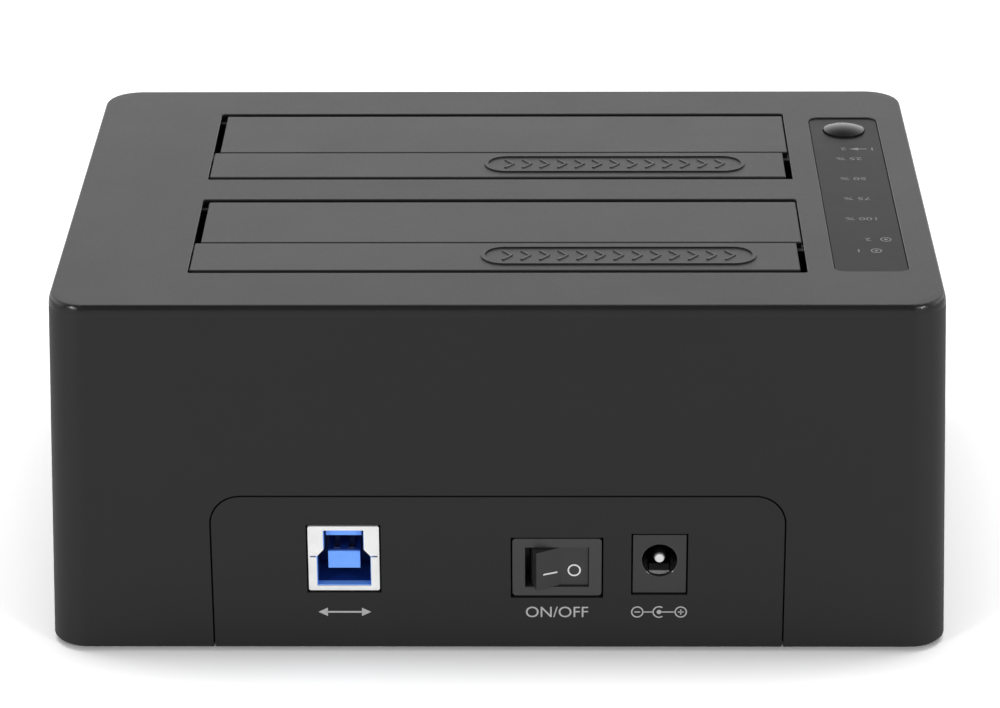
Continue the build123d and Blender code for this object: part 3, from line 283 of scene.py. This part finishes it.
def pressed_on(name, drawing, carrier, middle, material, across=RIGHT, up=UP):
    """Print of a drawing on a finished piece, pressed on against the way it is read."""
    proud = 0.014
    sunk = 0.01
    reach = 20.0
    outward = across.cross(up)
    skin = BVHTree.FromPolygons(
        [vert.co for vert in carrier.data.vertices],
        [face.vertices for face in carrier.data.polygons],
    )
    front = []
    back = []
    for vert in drawing.shape.verts:
        place = (Vector(middle) + across * vert.co.x + up * vert.co.y + outward * reach) * MM
        hit = skin.ray_cast(place, -outward)[0]
        front.append(hit + outward * proud * MM)
        back.append(hit - outward * sunk * MM)
    drawing.shape.verts.index_update()
    count = len(front)
    faces = []
    for face in drawing.shape.faces:
        corners = [vert.index for vert in face.verts]
        faces.append(corners)
        faces.append([corner + count for corner in reversed(corners)])
    for edge in drawing.shape.edges:
        if len(edge.link_loops) == 1:
            start = edge.link_loops[0].vert.index
            end = edge.link_loops[0].link_loop_next.vert.index
            faces.append([end, start, start + count, end + count])
    drawing.shape.free()
    mesh = bpy.data.meshes.new(name)
    mesh.from_pydata(front + back, [], faces)
    mesh.materials.append(material)
    piece = bpy.data.objects.new(name, mesh)
    bpy.context.scene.collection.objects.link(piece)
    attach(piece, bodies_of_nodes[carrier.name.removesuffix("_finished")])


def middle_of(node):
    """Middle of a CAD piece's box, in millimetres."""
    low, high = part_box(node)
    return (low + high) / 2 / MM


label_z = 7.65
plate_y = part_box("base_shell")[0].y / MM
usb_x = middle_of("usb_socket_shell").x
switch_middle = middle_of("switch_housing")
bore_middle = middle_of("jack_pin")
label_ink = moulding("grey_ink", (0.37, 0.37, 0.37), 0.55, grain=0.25, depth=0.003, mottle=0.2)

shaft_half = 3.1
arrow_half = 4.5
head_base = 2.9
head_half = 0.8
data_mark = Drawing()
data_mark.line((-shaft_half, 0), (shaft_half, 0), 0.32)
for side in (-1, 1):
    barbs = [(side * head_base, head_half), (side * head_base, -head_half)]
    data_mark.patch([(side * arrow_half, 0), *barbs])
pressed_on("data_mark", data_mark, base, (usb_x, plate_y, label_z), label_ink)

switch_words = Drawing()
switch_words.letters("ON/OFF", (0, 0), 2.0, 10.6)
words_middle = (switch_middle.x, plate_y, label_z)
pressed_on("switch_words", switch_words, base, words_middle, label_ink)

sign_x = 3.7
sign_radius = 0.95
sign_half = 0.5
cup_radius = 1.0
dot_reach = 0.35
ring_line = 0.22
sign_line = 0.2
polarity_mark = Drawing()
for side, joined_at in ((-1, cup_radius), (1, dot_reach)):
    polarity_mark.arc((side * sign_x, 0), sign_radius, ring_line)
    signs = [(side * sign_x - sign_half, 0), (side * sign_x + sign_half, 0)]
    polarity_mark.line(*signs, sign_line)
    polarity_mark.line((side * (sign_x - sign_radius), 0), (side * joined_at, 0), sign_line)
polarity_mark.line((sign_x, -sign_half), (sign_x, sign_half), sign_line)
polarity_mark.arc((0, 0), cup_radius, ring_line, 55, 305)
polarity_mark.arc((0, 0), 0.2, 0.4)
mark_middle = (bore_middle.x, plate_y, label_z)
pressed_on("polarity_mark", polarity_mark, base, mark_middle, label_ink)

# Rubber feet
# Four round pads of soft black rubber with adhesive backs. They are stuck in shallow seats near
# the base's corners and lift it 0.8 mm off the table.
foot_rubber = moulding("foot_rubber", (0.017, 0.017, 0.017), 0.86, grain=0.3, gloss=0.3)
finished("rubber_feet", foot_rubber)


# Circuit board and indicator board
# Glass laminate under a green solder mask. The main board is screwed to the base, the indicator
# board to two posts under the control strip.
def dressed(material, *nodes):
    """Gives a finish to CAD pieces that keep their own mesh."""
    for node in nodes:
        mesh = frame["nodes"][node].data
        mesh.materials.clear()
        mesh.materials.append(material)


solder_mask = moulding("solder_mask", (0.012, 0.09, 0.035), 0.34, grain=1.3, depth=0.006)
dressed(solder_mask, "main_board", "indicator_board")


# Parts on the boards
# Chips and a coil moulded in epoxy, aluminium cans, clear lamps in a dark baffle, and a flat
# grey cable between two headers. All are soldered or plugged in.
def metal(name, colour, roughness, scratch=0.35, mottle=0.12, metallic=1.0, front=None):
    """Plated or ground metal with fine scratches in its gloss, darkened with painted shade behind a front in Y."""
    stain_size = 3.5
    scratch_share = 0.16
    painted_shade_share = 0.07
    front_edge = 0.1
    finish = Finish(name)
    lines = finish.noise(scratch, detail=5.0, roughness=0.7)
    stains = finish.noise(stain_size)
    dark = [share * (1 - mottle) for share in colour]
    light = [min(1, share * (1 + mottle)) for share in colour]
    plating = finish.blend(stains, dark, light)
    # Painted shade: behind the front in Y the colour is darkened to a small share of itself.
    if front:
        edges = [(front + side * front_edge) * MM for side in (-1, 1)]
        behind = finish.share(finish.place("Y"), *edges)
        plating = finish.blend(behind, plating, [share * painted_shade_share for share in colour])
    return finish.surface(
        {
            "Base Color": plating,
            "Metallic": metallic,
            "Roughness": lines * scratch_share + (roughness - scratch_share / 2),
            "Normal": finish.bump(lines, 0.003),
        }
    )


chip_epoxy = moulding("chip_epoxy", (0.016, 0.016, 0.017), 0.55, grain=0.2, depth=0.005)
can_metal = metal("can_aluminium", (0.78, 0.78, 0.79), 0.3)
lamp_epoxy = moulding("lamp_epoxy", (0.8, 0.78, 0.6), 0.3, grain=0.5, depth=0.004)
cable_grey = moulding("cable_grey", (0.3, 0.3, 0.31), 0.5, grain=0.5, depth=0.01)
dressed(chip_epoxy, "board_chips", "power_inductor", "cable_headers", "light_baffle")
dressed(can_metal, "board_capacitors", "board_crystal")
dressed(lamp_epoxy, "indicator_lights")
dressed(cable_grey, "flat_cable")

# USB socket
# A tin-plated sheet shell folded round a blue nylon insulator, whose bar and tongue have a
# painted highlight, a lighter blue on their fronts, with a deeper blue as painted shade behind,
# and plated contacts. It is soldered to the main board.
tin_colour = (0.93, 0.93, 0.92)
socket_tin = metal("tin_plated_sheet", tin_colour, 0.42, scratch=0.9, mottle=0.14, metallic=0.4)
contact_tin = metal("contact_plating", (0.8, 0.8, 0.78), 0.24)
# Painted highlight on the fronts of the insulator's bar and tongue, and painted shade behind them.
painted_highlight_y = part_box("usb_socket_insulator")[0].y / MM + 1.33
painted_highlight_half = 4.8
painted_highlight_edge = 0.2
nylon = Finish("blue_nylon")
clouds = nylon.noise(2.4, detail=3.0, roughness=0.6)
from_middle = nylon.place("X") - usb_x * MM
off_centre = nylon.node("ShaderNodeMath", {"operation": "ABSOLUTE"}, {0: from_middle})
painted_highlight_front_share = nylon.share(nylon.place("Y"), (painted_highlight_y + painted_highlight_edge) * MM, painted_highlight_y * MM)
painted_highlight_width_share = nylon.share(off_centre, (painted_highlight_half + painted_highlight_edge) * MM, painted_highlight_half * MM)
painted_shade_blue = nylon.blend(clouds, (0.006, 0.03, 0.2), (0.009, 0.042, 0.27))
painted_highlight_blue = nylon.blend(clouds, (0.13, 0.33, 0.9), (0.17, 0.39, 0.96))
blue_nylon = nylon.surface(
    {
        "Base Color": nylon.blend(painted_highlight_front_share * painted_highlight_width_share, painted_shade_blue, painted_highlight_blue),
        "Roughness": clouds * 0.1 + 0.34,
        "Specular IOR Level": 0.3,
        "Normal": nylon.bump(clouds, 0.004),
    }
)
finished("usb_socket_shell", socket_tin)
finished("usb_socket_insulator", blue_nylon)
finished("usb_contacts", contact_tin)

# Power jack
# A black nylon block with a plated pin and a spring leaf in its bore, soldered to the board. The
# pin's tip and the leaf's bent end keep their plating's colour, and the rest of them is darkened
# with painted shade. A polished lip runs round the mouth of the bore.
bore_radius = 3.3
bore_edge = 0.05
nylon_skin = Finish("jack_black_nylon")
grain = nylon_skin.noise(0.5, detail=3.0, roughness=0.6)
bore_x = nylon_skin.place("X") - bore_middle.x * MM
bore_z = nylon_skin.place("Z") - bore_middle.z * MM
squares = bore_x * bore_x + bore_z * bore_z
from_axis = nylon_skin.node("ShaderNodeMath", {"operation": "SQRT"}, {0: squares})
bore_rims = [(bore_radius + side * bore_edge) * MM for side in (1, -1)]
in_bore = nylon_skin.share(from_axis, *bore_rims)
jack_nylon = nylon_skin.surface(
    {
        "Base Color": nylon_skin.blend(grain, (0.023, 0.023, 0.023), (0.03, 0.029, 0.029)),
        "Roughness": grain * 0.1 + 0.34 - in_bore * 0.26,
        "Normal": nylon_skin.bump(grain, 0.005),
    }
)
finished("jack_housing", jack_nylon)

lip_half = 0.16
lip_radius = bore_radius - lip_half
lip_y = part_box("jack_housing")[0].y / MM + lip_half
rounds = 48
corners = 10
lip_points = []
lip_faces = []
for turn in range(rounds):
    swing = 2 * math.pi * turn / rounds
    ahead = (turn + 1) % rounds * corners
    for corner in range(corners):
        angle = 2 * math.pi * corner / corners
        away = lip_radius + lip_half * math.cos(angle)
        x = bore_middle.x + away * math.cos(swing)
        z = bore_middle.z + away * math.sin(swing)
        lip_points.append(Vector((x, lip_y + lip_half * math.sin(angle), z)) * MM)
        here = turn * corners
        beside = (corner + 1) % corners
        lip_faces.append([here + corner, here + beside, ahead + beside, ahead + corner])
lip_mesh = bpy.data.meshes.new("bore_lip")
lip_mesh.from_pydata(lip_points, [], lip_faces)
lip_mesh.shade_smooth()
lip_polish = moulding("polished_lip", (0.02, 0.02, 0.02), 0.14, grain=0.5, depth=0.002, gloss=0.9)
lip_mesh.materials.append(lip_polish)
lip = bpy.data.objects.new("bore_lip", lip_mesh)
bpy.context.scene.collection.objects.link(lip)
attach(lip, "housing")

jack_silver = (0.9, 0.9, 0.89)
pin_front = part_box("jack_pin")[0].y / MM + 0.33
leaf_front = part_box("jack_leaf")[0].y / MM + 0.74
# Painted shade darkens the pin and the leaf behind their tip and bent end.
pin_plating = metal("pin_plating", jack_silver, 0.36, metallic=0.8, front=pin_front)
leaf_plating = metal("leaf_plating", jack_silver, 0.4, metallic=0.6, front=leaf_front)
finished("jack_pin", pin_plating)
finished("jack_leaf", leaf_plating)
dressed(contact_tin, "port_terminals")

# Power switch
# A sealed switch in black nylon whose bezel fills its opening in the port plate. Its rocker is a
# shallow V on an upright pin, with a dash and a ring pad-printed in white.
switch_nylon = moulding("switch_black_nylon", (0.036, 0.036, 0.036), 0.36, grain=0.5, depth=0.005)
rocker_nylon = moulding("rocker_black_nylon", (0.026, 0.026, 0.027), 0.36, grain=0.5, depth=0.005)
rocker_ink = moulding("white_ink", (0.66, 0.66, 0.65), 0.45, grain=0.25, depth=0.003, mottle=0.06)
finished("switch_housing", switch_nylon)
rocker = finished("power_rocker", rocker_nylon)
ring_x = switch_middle.x + 2.92
ring_z = switch_middle.z - 0.8
dash_x = switch_middle.x - 1.13
dash_z = switch_middle.z - 0.9
off_mark = Drawing()
off_mark.arc((0, 0), 1.0, 0.26)
pressed_on("off_mark", off_mark, rocker, (ring_x, plate_y, ring_z), rocker_ink)
on_mark = Drawing()
on_mark.line((-1.2, 0.1), (1.2, -0.1), 0.28)
pressed_on("on_mark", on_mark, rocker, (dash_x, plate_y, dash_z), rocker_ink)

# Drive sockets
# One upright receptacle for each drive, moulded in black plastic, with a row of gold-plated
# contacts. Both are soldered to the main board.
socket_black = moulding("socket_black_plastic", (0.02, 0.02, 0.021), 0.45, grain=0.4)
contact_gold = metal("contact_gold", (0.83, 0.62, 0.26), 0.28)
dressed(socket_black, "rear_drive_socket", "front_drive_socket")
dressed(contact_gold, "drive_socket_contacts")

# Bay frames and hinge pins
# Two plain black mouldings, each a well that guides a drive down on its socket. Blackened steel
# pins lie in open seats at the top of their end walls.
plain_black = moulding("plain_black_plastic", (0.012, 0.012, 0.0125), 0.6, grain=0.9, gloss=0.3)
black_steel = metal("blackened_steel", (0.018, 0.018, 0.019), 0.5)
dressed(plain_black, "rear_bay_frame", "front_bay_frame")
dressed(black_steel, "hinge_pins")

# Flaps
# Four textured mouldings, two to a slot. The narrow one of each pair carries a raised oblong with
# a row of raised chevrons in it.
flap_black = moulding("flap_black_plastic", (0.0118, 0.0115, 0.0116), 0.49, gloss=0.385)
hinges = {joint["child"]: Vector(joint["pos_m"]) for joint in frame["joints"]}
flaps = [f"{bay}_{kind}_door" for bay in ("rear_bay", "front_bay") for kind in ("narrow", "wide")]
narrow_flaps = [flap for flap in flaps if "narrow" in flap]
for flap in flaps:
    finished(flap, flap_black)

row_tree = bpy.data.node_groups.new("row_of_chevrons", "GeometryNodeTree")
sizes = {
    "marks": 13,
    "step": 3.15 * MM,
    "reach": 1.5 * MM,
    "arm": 1.9 * MM,
    "line": 0.42 * MM,
    "rise": 0.16 * MM,
}
for name, size in sizes.items():
    kind = "NodeSocketInt" if isinstance(size, int) else "NodeSocketFloat"
    row_tree.interface.new_socket(name, in_out="INPUT", socket_type=kind)
row_tree.interface.new_socket("material", in_out="INPUT", socket_type="NodeSocketMaterial")
row_tree.interface.new_socket("row", in_out="OUTPUT", socket_type="NodeSocketGeometry")
row = Nodes(row_tree)
given = {name: row.node("NodeGroupInput", output=name) for name in (*sizes, "material")}
three = row.node("GeometryNodeMeshLine", values={"Count": 3, "Offset": (0, 0, 0)})
order = row.node("GeometryNodeInputIndex") - 1.0
bend = row.node("ShaderNodeMath", {"operation": "ABSOLUTE"}, {0: order})
spread = row.node(
    "ShaderNodeCombineXYZ", values={"X": 0.0 - bend * given["reach"], "Y": order * given["arm"]}
)
bent = row.node("GeometryNodeSetPosition", values={"Geometry": three, "Offset": spread})
spine = row.node("GeometryNodeMeshToCurve", values={"Mesh": bent})
section = row.node(
    "GeometryNodeCurvePrimitiveQuadrilateral",
    values={"Width": given["line"], "Height": given["rise"] * 2.0},
)
chevron = row.node(
    "GeometryNodeCurveToMesh", values={"Curve": spine, "Profile Curve": section, "Fill Caps": True}
)
stride = row.node("ShaderNodeCombineXYZ", values={"X": given["step"]})
places = row.node("GeometryNodeMeshLine", values={"Count": given["marks"], "Offset": stride})
copies = row.node("GeometryNodeInstanceOnPoints", values={"Points": places, "Instance": chevron})
solid = row.node("GeometryNodeRealizeInstances", values={"Geometry": copies})
coated = row.node("GeometryNodeSetMaterial", values={"Geometry": solid, "Material": given["material"]})
row.node("NodeGroupOutput", values={"row": coated})

oblong_x = 20.5
oblong_from_hinge = 5.865
oblong_rise = 0.25
row_length = (sizes["marks"] - 1) * sizes["step"] - sizes["reach"]
for flap in narrow_flaps:
    seed = bpy.data.objects.new(f"{flap}_seed", bpy.data.meshes.new("seed"))
    bpy.context.scene.collection.objects.link(seed)
    maker = seed.modifiers.new("row", "NODES")
    maker.node_group = row_tree
    for entry in row_tree.interface.items_tree:
        if entry.in_out == "INPUT":
            maker[entry.identifier] = flap_black if entry.name == "material" else sizes[entry.name]
    bpy.context.view_layer.update()
    grown = seed.evaluated_get(bpy.context.evaluated_depsgraph_get())
    shapes = bpy.data.meshes.new_from_object(grown)
    bpy.data.objects.remove(seed)
    row_x = oblong_x * MM - row_length / 2
    row_y = hinges[flap].y + oblong_from_hinge * MM
    panel_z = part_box(flap)[1].z - oblong_rise * MM
    shapes.transform(Matrix.Translation((row_x, row_y, panel_z)))
    chevrons = bpy.data.objects.new(f"{flap}_chevrons", shapes)
    bpy.context.scene.collection.objects.link(chevrons)
    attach(chevrons, flap)

# Torsion springs
# One to a flap, wound from 0.3 mm steel wire round its hinge pin, with one leg under the flap and
# one that leans on the wall of the well.
spring_steel = metal("spring_steel", (0.2, 0.205, 0.21), 0.36)
wire = 0.3
coil_radius = 0.87
coil_turns = 3.25
turn_steps = 16
leg_length = 2.6
leg_play = 0.05
wall_from_pin = 1.65
steps = int(coil_turns * turn_steps)
for flap in flaps:
    side = -1 if flap in narrow_flaps else 1
    low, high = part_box(f"{flap}_spring")
    centre = Vector(((low.x + high.x) / 2, hinges[flap].y, hinges[flap].z)) / MM
    half = (high.x - low.x) / MM / 2 - wire / 2
    lean = side * (wall_from_pin - coil_radius - wire / 2 - leg_play)
    route = [centre + Vector((-half, side * leg_length, -coil_radius))]
    for step in range(steps + 1):
        angle = 2 * math.pi * step / turn_steps
        ray = Vector((0, -side * math.sin(angle), -math.cos(angle)))
        along = Vector((-half + 2 * half * step / steps, 0, 0))
        route.append(centre + ray * coil_radius + along)
    route.append(route[-1] + Vector((0, lean, -leg_length)))
    curve = bpy.data.curves.new("spring_wire", "CURVE")
    curve.dimensions = "3D"
    curve.bevel_depth = wire / 2 * MM
    curve.bevel_resolution = 2
    curve.use_fill_caps = True
    spline = curve.splines.new("POLY")
    spline.points.add(len(route) - 1)
    for point, place in zip(spline.points, route):
        point.co = (*(place * MM), 1)
    winding = bpy.data.objects.new("spring_winding", curve)
    mesh = bpy.data.meshes.new_from_object(winding)
    bpy.data.objects.remove(winding)
    mesh.shade_smooth()
    mesh.materials.append(spring_steel)
    spring = bpy.data.objects.new(f"{flap}_spring_wound", mesh)
    bpy.context.scene.collection.objects.link(spring)
    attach(spring, flap)
    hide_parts(f"{flap}_spring")

# Upper shell
# The large moulding with the top, four leaning walls and the slots, textured like the base. Its
# top edge is eased over 1.7 mm down the walls and rubbed a little smoother there.
shell_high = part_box("upper_shell")[1] / MM
rubbed_heights = [shell_high.z - drop for drop in (2.0, 1.6, 0.2, 0.0)]
shell_black = moulding("shell_black_plastic", housing_colour, 0.5, gloss=0.38, rubbed=rubbed_heights)
shell = finished("upper_shell", shell_black)
side_lean = 2.1
face_lean = 1.2
top_corner = 6.4
cut_round = 0.9
seen_depth = 1.7
seen_width = 0.55
depth_slack = 1.05
width_slack = 1.1
corner_middle = Vector((shell_high.x - side_lean - top_corner, shell_high.y - face_lean - top_corner))
# The rounded edge is drawn longer down the walls and narrower on the top than the CAD has it.
for vert in shell.data.vertices:
    spot = vert.co / MM
    drop = shell_high.z - spot.z
    beyond = Vector((abs(spot.x), abs(spot.y))) - corner_middle
    ray = Vector((max(beyond.x, 0), max(beyond.y, 0)))
    inset = top_corner - ray.length
    if drop < depth_slack * cut_round and inset < width_slack * cut_round:
        shift = ray.normalized() * inset * (1 - seen_width / cut_round)
        spot.x += math.copysign(shift.x, spot.x)
        spot.y += math.copysign(shift.y, spot.y)
        spot.z = shell_high.z - drop * seen_depth / cut_round
        vert.co = spot * MM

# Control strip and its push button
# A smooth smoked panel laid in its seat, with faint grey numbers that are read from the side of
# the slots' wide flaps, and a polished domed button that rests on a small push switch.
smoke = (0.0105, 0.0105, 0.0105)
strip_smoke = moulding("smoked_panel", smoke, 0.32, grain=2.5, depth=0.002, gloss=0.045)
button_black = (0.01, 0.01, 0.01)
button_gloss = moulding("polished_black", button_black, 0.2, grain=2.5, depth=0.002, gloss=0.2)
strip = finished("control_strip", strip_smoke)
finished("push_button", button_gloss)
dressed(socket_black, "push_switch_body", "push_switch_plunger")

# The panel is drawn a little larger than in the CAD, for a gap as thin as the real one.
snug_by = 0.1
strip_middle = middle_of("control_strip")
strip_size = (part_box("control_strip")[1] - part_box("control_strip")[0]) / MM
snug = Matrix.Diagonal((1 + 2 * snug_by / strip_size.x, 1 + 2 * snug_by / strip_size.y, 1, 1))
to_middle = Matrix.Translation(strip_middle * MM)
strip.data.transform(to_middle @ snug @ to_middle.inverted())

strip_ink = moulding("strip_ink", (0.125, 0.125, 0.125), 0.5, grain=0.25, depth=0.002, mottle=0.35)
letter_height = 1.25
one_half = 0.65
one_line = 0.24
arrow_y = -21.0
strip_words = Drawing()
for words, x, y, width in (
    ("25 %", 0.075, -16.1, 4.6),
    ("50 %", 0.075, -6.3, 4.6),
    ("75 %", 0.075, 3.3, 4.6),
    ("100 %", 0.075, 12.7, 5.4),
    ("2", 0.775, arrow_y, 1.0),
    ("2", -0.425, 22.1, 1.0),
):
    strip_words.letters(words, (x, y), letter_height, width)
for x, y in ((-4.425, arrow_y), (1.575, 27.1)):
    strip_words.line((x, y - one_half), (x, y + one_half), one_line)
strip_words.line((-3.425, arrow_y), (-1.925, arrow_y), 0.35)
strip_words.patch([(-0.225, arrow_y), (-1.925, arrow_y + 0.7), (-1.925, arrow_y - 0.7)])
for x, y in ((-3.425, 22.1), (-1.425, 27.1)):
    strip_words.arc((x, y), 0.85, 0.22)
    strip_words.arc((x, y), 0.16, 0.32)
away = Vector((0, -1, 0))
pressed_on("strip_words", strip_words, strip, strip_middle, strip_ink, -RIGHT, away)

# Screws
# Zinc-plated steel screws, driven into bosses and posts of the plastic pieces. They hold the
# case shut from below and the bay frames and boards from inside.
zinc_steel = metal("zinc_plated_steel", (0.62, 0.63, 0.66), 0.32)
dressed(zinc_steel, "case_screws", "bay_frame_screws", "board_screws", "indicator_board_screws")

# Floor and world
# A plain white sheet that stays white to the camera and in gloss, and keeps the soft shadow. The
# room is white behind and beside the station near the ground and darker overhead and in front.
floor_reach = 3.0
floor_shade = 0.86
floor_seen = 1.22
floor_mirrored = 0.64
floor_finish = Finish("white_floor")
camera_rays = floor_finish.node("ShaderNodeLightPath", output="Is Camera Ray")
gloss_rays = floor_finish.node("ShaderNodeLightPath", output="Is Glossy Ray")
unseen = floor_finish.blend(gloss_rays, [floor_shade] * 3, [floor_mirrored] * 3)
whiteness = floor_finish.blend(camera_rays, unseen, [floor_seen] * 3)
paper = floor_finish.node("ShaderNodeBsdfDiffuse", values={"Color": whiteness})
floor_finish.node("ShaderNodeOutputMaterial", values={"Surface": paper})
floor_mesh = bpy.data.meshes.new("floor")
floor_corners = [(-1, -1, 0), (1, -1, 0), (1, 1, 0), (-1, 1, 0)]
floor_mesh.from_pydata([Vector(c) * floor_reach for c in floor_corners], [], [(0, 1, 2, 3)])
floor_mesh.materials.append(floor_finish.material)
floor = bpy.data.objects.new("floor", floor_mesh)
bpy.context.scene.collection.objects.link(floor)

room_light = 0.5
gloss_low = 2.0
gloss_high = 0.06
world = bpy.data.worlds.new("studio")
bpy.context.scene.world = world
world.use_nodes = True
room = Nodes(world.node_tree)
seen = room.node("ShaderNodeLightPath", output="Is Camera Ray")
mirrored = room.node("ShaderNodeLightPath", output="Is Glossy Ray")
bearing = room.node("ShaderNodeTexCoord", output="Generated")
forward = room.node("ShaderNodeSeparateXYZ", values={0: bearing}, output="Y")
height = room.node("ShaderNodeSeparateXYZ", values={0: bearing}, output="Z")
dim_front, lit_back = -0.55, 0.1
dim_height, lit_height = 0.92, 0.35
behind = room.share(forward, dim_front, lit_back)
low_down = room.share(height, dim_height, lit_height)
gloss = behind * low_down * (gloss_low - gloss_high) + gloss_high
strength = seen + (1.0 - seen) * (mirrored * gloss + (1.0 - mirrored) * room_light)
backdrop = room.node("ShaderNodeBackground", values={"Color": (1, 1, 1, 1), "Strength": strength})
room.node("ShaderNodeOutputWorld", values={"Surface": backdrop})


# Lamps
# Soft boxes, placed in metres. A long one overhead lights the top and throws the soft shadow,
# and a small one to each side in front lights the ports.
def soft_box(name, place, target, width, height, power):
    """Rectangular lamp that faces a point."""
    light = bpy.data.lights.new(name, "AREA")
    light.shape = "RECTANGLE"
    light.size = width
    light.size_y = height
    light.energy = power
    lamp = bpy.data.objects.new(name, light)
    facing = (Vector(target) - Vector(place)).to_track_quat("-Z", "Y")
    lamp.matrix_world = Matrix.Translation(place) @ facing.to_matrix().to_4x4()
    bpy.context.scene.collection.objects.link(lamp)


soft_box("overhead", (0, 0.13, 1.1), (0, 0, 0), width=1.3, height=0.3, power=8.0)
for name, side in (("left_front", -1), ("right_front", 1)):
    soft_box(name, (side * 0.78, -0.86, 0.34), (0, 0, 0.06), width=0.22, height=0.2, power=4.0)
bpy.context.scene.view_settings.view_transform = "Standard"

# Camera
# A long lens 0.7 m from the station that looks down at its ports by 24 degrees. It stands a
# little to the right and is turned and tilted by less than one degree, as in the photograph.
camera_place = Vector((8.45, -626.07, 312.72)) * MM
camera_turn = 0.785
camera_rise = 24.12
camera_roll = -0.34
camera = bpy.data.objects.new("camera", bpy.data.cameras.new("camera"))
camera.data.sensor_width = 36.0
camera.data.lens = 137.03
camera.data.clip_start = 0.01
camera.matrix_world = (
    Matrix.Translation(camera_place)
    @ Matrix.Rotation(math.radians(camera_turn), 4, "Z")
    @ Matrix.Rotation(math.radians(90 - camera_rise), 4, "X")
    @ Matrix.Rotation(math.radians(camera_roll), 4, "Z")
)
bpy.context.scene.collection.objects.link(camera)
bpy.context.scene.camera = camera
